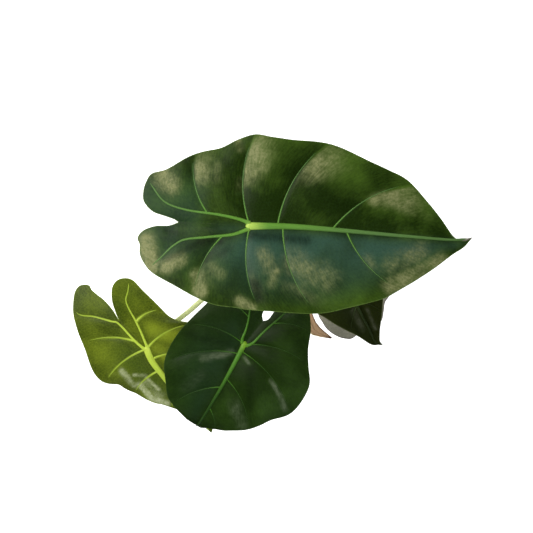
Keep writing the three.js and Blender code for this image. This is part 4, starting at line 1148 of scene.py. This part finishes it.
SHAPES = {}
for name, leaf in LEAVES.items():
    size = leaf["size"]
    midrib = rounded_line([(0, 0), *leaf["midrib"], leaf["tip"]])
    halves = {side: half_lines(leaf, side, midrib) for side in ("left", "right")}
    fine_rows, counts = (210, (56, 40, 44, 14)) if size >= 1 else (130, (40, 26, 32, 10))
    places = np.linspace(0, 1, 801)
    progress = 0
    for half in halves.values():
        from_hub = along_pairs(half["front"], places) - half["hub_margin"]
        progress = progress + from_hub / (1 - half["hub_margin"])
    stations = np.interp(np.linspace(0, progress[-1], fine_rows + 1), progress, places)
    grids = []
    for side, lines in halves.items():
        grids += flat_half(leaf, lines, midrib, stations, counts, side)
    blade = joined(grids, name + "_tissue", 0.02)
    flat = flat_mesh(blade)
    blade.data.update()
    if sum(p.normal.z * p.area for p in blade.data.polygons) < 0:
        blade.data.flip_normals()

    laterals = [line for lines in halves.values() for line in lateral_lines(lines, midrib)]
    ribs = [midrib, halves["left"]["rib"], halves["right"]["rib"]]
    outlines = [half["outline"] for half in halves.values()]
    from_vein, vein_part, from_rib, from_edge = distances(flat, laterals, ribs, outlines)
    height = relief_height(leaf, name, flat, from_vein, vein_part, from_rib)
    corners = np.column_stack((flat[:, :2], height)).tolist()
    SHAPES[name] = dict(
        laterals=laterals, midrib=midrib, halves=halves,
        field=BVHTree.FromPolygons(corners, [tuple(p.vertices) for p in blade.data.polygons]),
    )
    across, phase, gap = (read_values(blade, key) for key in ("across", "phase", "gap"))
    for key, values in tint_values(name, flat, across, phase, gap, from_rib).items():
        set_values(blade, key, values)
    width = (1.2 - 0.7 * vein_part) * leaf["vein_width"]
    set_values(blade, "lateral", np.clip(1.3 - from_vein / width, 0, 1) * (1 - 0.7 * vein_part))
    set_values(blade, "from_edge", from_edge)
    set_values(blade, "flat", np.stack((flat[:, 0], flat[:, 1], 0 * height + leaf["yaw"]), -1))
    out_from_rib = across * 60 * size
    set_values(blade, "rows", np.stack((read_values(blade, "along") * 0.9, out_from_rib * 0.16, gap), -1))
    square = upright(leaf, flat[:, 0], flat[:, 1])
    top = posed(leaf, flat[:, 0], flat[:, 1], height) + square * BLADE_THICKNESS / 2000
    blade.data.vertices.foreach_set("co", top.astype(np.float32).ravel())
    thick = blade.vertex_groups.new(name="thick")
    for i, distance in enumerate(from_edge):
        thick.add([i], min(1.0, 0.45 + 0.12 * distance), "REPLACE")
    for key in ("phase", "gap", "across", "along"):
        blade.data.attributes.remove(blade.data.attributes[key])
    upper, lower = FINISHES[name]
    blade.data.materials.append(blade_material(name + "_upper_face", *upper, 0.3))
    blade.data.materials.append(blade_material(name + "_under_face", *lower, 0.25))
    solid = blade.modifiers.new("tissue", "SOLIDIFY")
    solid.thickness = BLADE_THICKNESS / 1000
    solid.offset = -1
    solid.vertex_group = "thick"
    solid.material_offset = 1
    bpy.ops.object.select_all(action="DESELECT")
    blade.select_set(True)
    bpy.context.view_layer.objects.active = blade
    bpy.ops.object.modifier_apply(modifier=solid.name)
    bpy.ops.object.shade_smooth_by_angle(angle=math.radians(50))
    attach(blade, "root")
    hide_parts(name + "_blade")


# Ribs
# The pale midrib, the rib of each back lobe and the side veins stand up from the blade like
# bones, and show as lower keels below it. They are widest at the stalk and fade to leaf green.

RIB_SIDES = 18
KNOB_REACH = 3.4
LOBE_RIB_SHIFT = 2.1


def rib_material(name, knob, near, far, skin):
    """Pale and smooth on its crest, and leaf green where it runs into the blade."""
    material, tree, shader = new_material(name)
    streak = use_group(tree, fibre_group, {"Round": 3.0, "Along": 0.12})
    tone = blend(tree, ramp(tree, attribute(tree, "reach"), 0.0, 0.16), knob, near)
    tone = blend(tree, ramp(tree, attribute(tree, "reach"), 0.16, 0.9), tone, far)
    tone = blend(tree, ramp(tree, streak["Fibres"], 0.45, 0.75, 0.0, 0.3), tone, skin)
    tone = blend(tree, ramp(tree, attribute(tree, "flank"), 0.25, 0.95), tone, skin)
    bump = node(tree, "Bump", {"Height": streak["Fibres"], "Strength": 0.3, "Distance": 0.0002})
    tree.links.new(tone, shader.inputs["Base Color"])
    tree.links.new(ramp(tree, streak["Flecks"], 0.3, 0.7, 0.36, 0.48), shader.inputs["Roughness"])
    tree.links.new(bump.outputs["Normal"], shader.inputs["Normal"])
    shader.inputs["Coat Weight"].default_value = 0.15
    shader.inputs["Coat Roughness"].default_value = 0.3
    return material


RIB_TONES = {
    "leaf_1": (colour(160, 186, 80), colour(84, 128, 44), colour(78, 110, 56), colour(40, 64, 20)),
    "leaf_2": (colour(112, 152, 36), colour(66, 114, 26), colour(36, 64, 20), colour(27, 46, 10)),
    "leaf_3": (colour(180, 198, 78), colour(170, 192, 64), colour(140, 162, 46), colour(94, 110, 18)),
    "leaf_4": (colour(120, 150, 70), colour(70, 92, 40), colour(40, 52, 22), colour(30, 38, 10)),
    "leaf_5": (colour(140, 140, 118), colour(126, 126, 108), colour(112, 110, 96), colour(108, 108, 94)),
}


def rib_rings(leaf, field, line, half_widths, tops, keels, reach):
    """Rings of one rib, laid on the blade that it runs through."""
    ahead = np.gradient(line, axis=0)
    ahead /= np.linalg.norm(ahead, axis=1, keepdims=True)
    aside = np.stack((-ahead[:, 1], ahead[:, 0]), -1)
    angle = np.linspace(0, 2 * math.pi, RIB_SIDES + 1)
    out, rise = np.cos(angle), np.sin(angle)
    flat = line[:, None] + aside[:, None] * (half_widths[:, None] * out)[..., None]
    heights = np.empty(flat.shape[:2])
    for i, row in enumerate(flat):
        middle = field.ray_cast((*line[i], 50.0), (0, 0, -1))[0]
        for j, spot in enumerate(row):
            hit = field.ray_cast((*spot, 50.0), (0, 0, -1))[0] or middle
            heights[i, j] = hit.z if hit else 0.0
    bare = BLADE_THICKNESS / 2 * np.sign(rise) * np.minimum(1, np.abs(rise) / 0.3)
    crest = np.where(rise > 0, tops[:, None], keels[:, None]) * np.abs(rise) ** 1.6 * np.sign(rise)
    lifted = posed(leaf, flat[..., 0], flat[..., 1], heights)
    lifted = lifted + upright(leaf, flat[..., 0], flat[..., 1]) * ((bare + crest) / 1000)[..., None]
    travelled = np.concatenate(([0], np.cumsum(np.linalg.norm(np.diff(line, axis=0), axis=1))))
    wrapped = travelled[:, None], half_widths[:, None] * out, np.zeros(1)
    shape = heights.shape
    return lifted, {
        "reach": np.broadcast_to(reach[:, None], shape),
        "flank": np.broadcast_to(1 - np.abs(rise), shape),
        "lengthwise": np.stack(np.broadcast_arrays(*wrapped), -1),
    }


for name, leaf in LEAVES.items():
    shape = SHAPES[name]
    size = leaf["size"]
    parts = []
    runs = [("midrib", shape["midrib"])]
    for half in shape["halves"].values():
        from_hub = np.linalg.norm(half["rib"], axis=1)
        shift = half["sign"] * LOBE_RIB_SHIFT * size * np.exp(-from_hub / 7)
        runs.append(("lobe", half["rib"] + np.stack((0 * shift, shift), -1)))
    runs += [("vein", line) for line in shape["laterals"]]
    for kind, line in runs:
        if kind == "midrib":
            back = (line[0] - line[1]) / np.linalg.norm(line[0] - line[1])
            line = np.concatenate((line[:1] + KNOB_REACH * size * back, line))
        total = np.linalg.norm(np.diff(line, axis=0), axis=1).sum()
        count = max(24, int(total / 1.1))
        whole = respaced(line, count + 8)
        line = whole[: count + (8 if kind == "vein" else 4)]
        part = np.linspace(0, 1, len(line))
        end = np.clip((1 - part) * total / 5, 0.02, 1) ** 0.5
        if kind == "midrib":
            end *= np.clip(part * total / (2.6 * size), 0.02, 1) ** 0.5
            half_widths = leaf["rib_width"] / 2 * (1 - 0.74 * part ** leaf["taper"])
            tops, keels = 1.5 * size * (1 - 0.6 * part), 1.3 * size * (1 - 0.7 * part)
            reach = np.clip(part * 1.5, 0, 1)
        elif kind == "lobe":
            flare = 0.2 * np.exp(-part * total / (4 * size))
            half_widths = leaf["rib_width"] / 2 * (0.38 - 0.24 * part + flare)
            tops, keels = 1.0 * size * (1 - 0.6 * part), 0.9 * size * (1 - 0.6 * part)
            reach = 0.1 + 0.7 * np.clip(part * 1.2, 0, 1)
        else:
            half_widths = (1 - 0.8 * part) * leaf["vein_width"]
            tops, keels = 0.5 * size * (1 - 0.65 * part), 0.45 * size * (1 - 0.6 * part)
            reach = 0.25 + 0.75 * np.clip(part * 1.7, 0, 1)
        sizes = half_widths * end, tops * end, keels * end
        places, values = rib_rings(leaf, shape["field"], line, *sizes, reach)
        parts.append(mapped_grid("rib", places.shape[0], places.shape[1], places, values))
    ribs = joined(parts, name + "_ribs", 0.000004)
    bpy.ops.object.mode_set(mode="EDIT")
    bpy.ops.mesh.select_all(action="SELECT")
    bpy.ops.mesh.fill_holes(sides=0)
    bpy.ops.mesh.normals_make_consistent(inside=False)
    bpy.ops.object.mode_set(mode="OBJECT")
    bpy.ops.object.shade_smooth()
    ribs.data.materials.append(rib_material(name + "_rib_skin", *RIB_TONES[name]))
    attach(ribs, "root")
    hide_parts(name + "_stalk_and_ribs")


# Dry sheath
# The papery scale that once wrapped a young leaf. It has dried tan, with fine parallel veins,
# a pale bleached edge, a dark keel, and a point that has curled to a hook.

SHEATH = dict(
    hub=(4.8, -13.2, 82), yaw=-73, roll=0, rise=14,
    arch=((0, -80), (48, -60), (86, -20), (128, 8)), cup_left=((0, 60),), cup_right=((0, 60),),
)
SHEATH_EDGES = (
    (0, -4, 4), (14, -4.5, 4.5), (30, -5, 5), (50, -5, 5), (70, -5, 4), (86, -5, 2), (100, -5.5, 1.5),
    (110, -6.5, 2.5), (116, -6.5, 5), (120, -4, 7.5), (123.5, 2, 10), (127.5, 11, 12.5),
)
SHEATH_VEINS = 9
rows, columns = 260, 30
run = np.linspace(0, SHEATH_EDGES[-1][0], rows)
low = along_pairs([(a, b) for a, b, _ in SHEATH_EDGES], run)
high = along_pairs([(a, c) for a, _, c in SHEATH_EDGES], run)
part = np.linspace(0, 1, columns)
a = np.broadcast_to(run[:, None], (rows, columns))
b = low[:, None] + (high - low)[:, None] * part
veins = 0.12 * np.cos(part * 2 * math.pi * SHEATH_VEINS)
crinkle = np.array([noise.fractal(Vector((x / 14, y / 3, 2.5)), 1.0, 2.0, 3) for x, y in zip(a.flat, b.flat)])
crinkle = crinkle.reshape(rows, columns)
keel = 0.5 * np.exp(-((part - 0.45) / 0.08) ** 2)
height = veins + 0.35 * crinkle * (np.abs(part - 0.5) * 2) + keel
places = posed(SHEATH, a, b, height)
sheath = mapped_grid("papery_sheath", rows, columns, places, {
    "lengthwise": np.stack((a, b, 0 * a), -1),
    "bleach": np.broadcast_to(part, (rows, columns)),
    "to_point": np.broadcast_to((run / run[-1])[:, None], (rows, columns)),
})
sheath_finish, tree, shader = new_material("dry_papery_sheath")
fibre = use_group(tree, fibre_group, {"Round": 2.4, "Along": 0.06})
tone = blend(tree, ramp(tree, fibre["Fibres"], 0.35, 0.65), colour(160, 122, 90), colour(196, 166, 132))
tone = blend(tree, ramp(tree, attribute(tree, "bleach"), 0.12, 0.0, 0.0, 0.9), tone, colour(226, 214, 166))
tone = blend(tree, ramp(tree, attribute(tree, "bleach"), 0.8, 1.0, 0.0, 0.75), tone, colour(92, 58, 40))
tone = blend(tree, ramp(tree, attribute(tree, "to_point"), 0.965, 1.0), tone, colour(84, 50, 36))
bump = node(tree, "Bump", {"Height": fibre["Fibres"], "Strength": 0.6, "Distance": 0.0004})
tree.links.new(tone, shader.inputs["Base Color"])
tree.links.new(ramp(tree, fibre["Flecks"], 0.3, 0.7, 0.6, 0.8), shader.inputs["Roughness"])
tree.links.new(bump.outputs["Normal"], shader.inputs["Normal"])
sheath.data.materials.append(sheath_finish)
wall = sheath.modifiers.new("paper", "SOLIDIFY")
wall.thickness = 0.00035
wall.offset = 0
bpy.ops.object.modifier_apply(modifier=wall.name)
bpy.ops.object.mode_set(mode="EDIT")
bpy.ops.mesh.select_all(action="SELECT")
bpy.ops.mesh.normals_make_consistent(inside=False)
bpy.ops.object.mode_set(mode="OBJECT")
bpy.ops.object.shade_smooth_by_angle(angle=math.radians(50))
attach(sheath, "root")
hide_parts("dry_sheath")


# Floor, light and camera
# A plain white studio floor that glows a little, as on a light table, with soft boxes round a
# camera that looks straight down on the plant.

bpy.ops.object.select_all(action="DESELECT")
bpy.ops.mesh.primitive_circle_add(vertices=96, radius=9.0, fill_type="NGON", location=(0, 0, -0.0002))
floor = bpy.context.object
floor.name = "studio_floor"
floor_finish, tree, shader = new_material("pale_floor")
shader.inputs["Base Color"].default_value = (0.9, 0.9, 0.9, 1.0)
shader.inputs["Roughness"].default_value = 0.9
shader.inputs["Emission Color"].default_value = (1.0, 1.0, 1.0, 1.0)
shader.inputs["Emission Strength"].default_value = 0.75
floor.data.materials.append(floor_finish)
floor.visible_glossy = False
floor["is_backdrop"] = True

bpy.context.scene.view_settings.view_transform = "Standard"
world = bpy.data.worlds.new("studio")
bpy.context.scene.world = world
world.use_nodes = True
world.cycles_visibility.glossy = False
world.node_tree.nodes["Background"].inputs["Color"].default_value = (0.95, 0.98, 1.0, 1.0)
world.node_tree.nodes["Background"].inputs["Strength"].default_value = 0.22


def soft_box(name, place, aim, size, power, tint, mirrored):
    """Square lamp at a place, turned to face a point. Glossy skins mirror only some of the lamps."""
    lamp = bpy.data.lights.new(name, "AREA")
    lamp.size = size
    lamp.energy = power
    lamp.color = tint
    holder = bpy.data.objects.new(name, lamp)
    bpy.context.scene.collection.objects.link(holder)
    holder.visible_glossy = mirrored
    holder.location = place
    holder.rotation_euler = (Vector(aim) - Vector(place)).to_track_quat("-Z", "Y").to_euler()


soft_box("window_side", (-0.95, 0.35, 1.35), (0, 0, 0.25), 0.9, 22, (1.0, 0.98, 0.92), False)
soft_box("window_sheen", (-0.7, 0.2, 1.2), (0, 0, 0.3), 1.1, 5, (1.0, 0.98, 0.92), True)
soft_box("sky_side", (0.15, -1.1, 1.3), (0, 0, 0.25), 0.9, 11, (0.9, 0.96, 1.0), False)
soft_box("back_fill", (0.8, 1.0, 1.2), (0, 0, 0.25), 0.9, 7, (1.0, 1.0, 1.0), False)

sight = bpy.data.cameras.new("photo_view")
sight.lens = 97.73
sight.sensor_width = 36.0
viewer = bpy.data.objects.new("photo_view", sight)
bpy.context.scene.collection.objects.link(viewer)
viewer.location = (-0.017, -0.028, 1.450)
bpy.context.scene.camera = viewer

low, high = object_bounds()
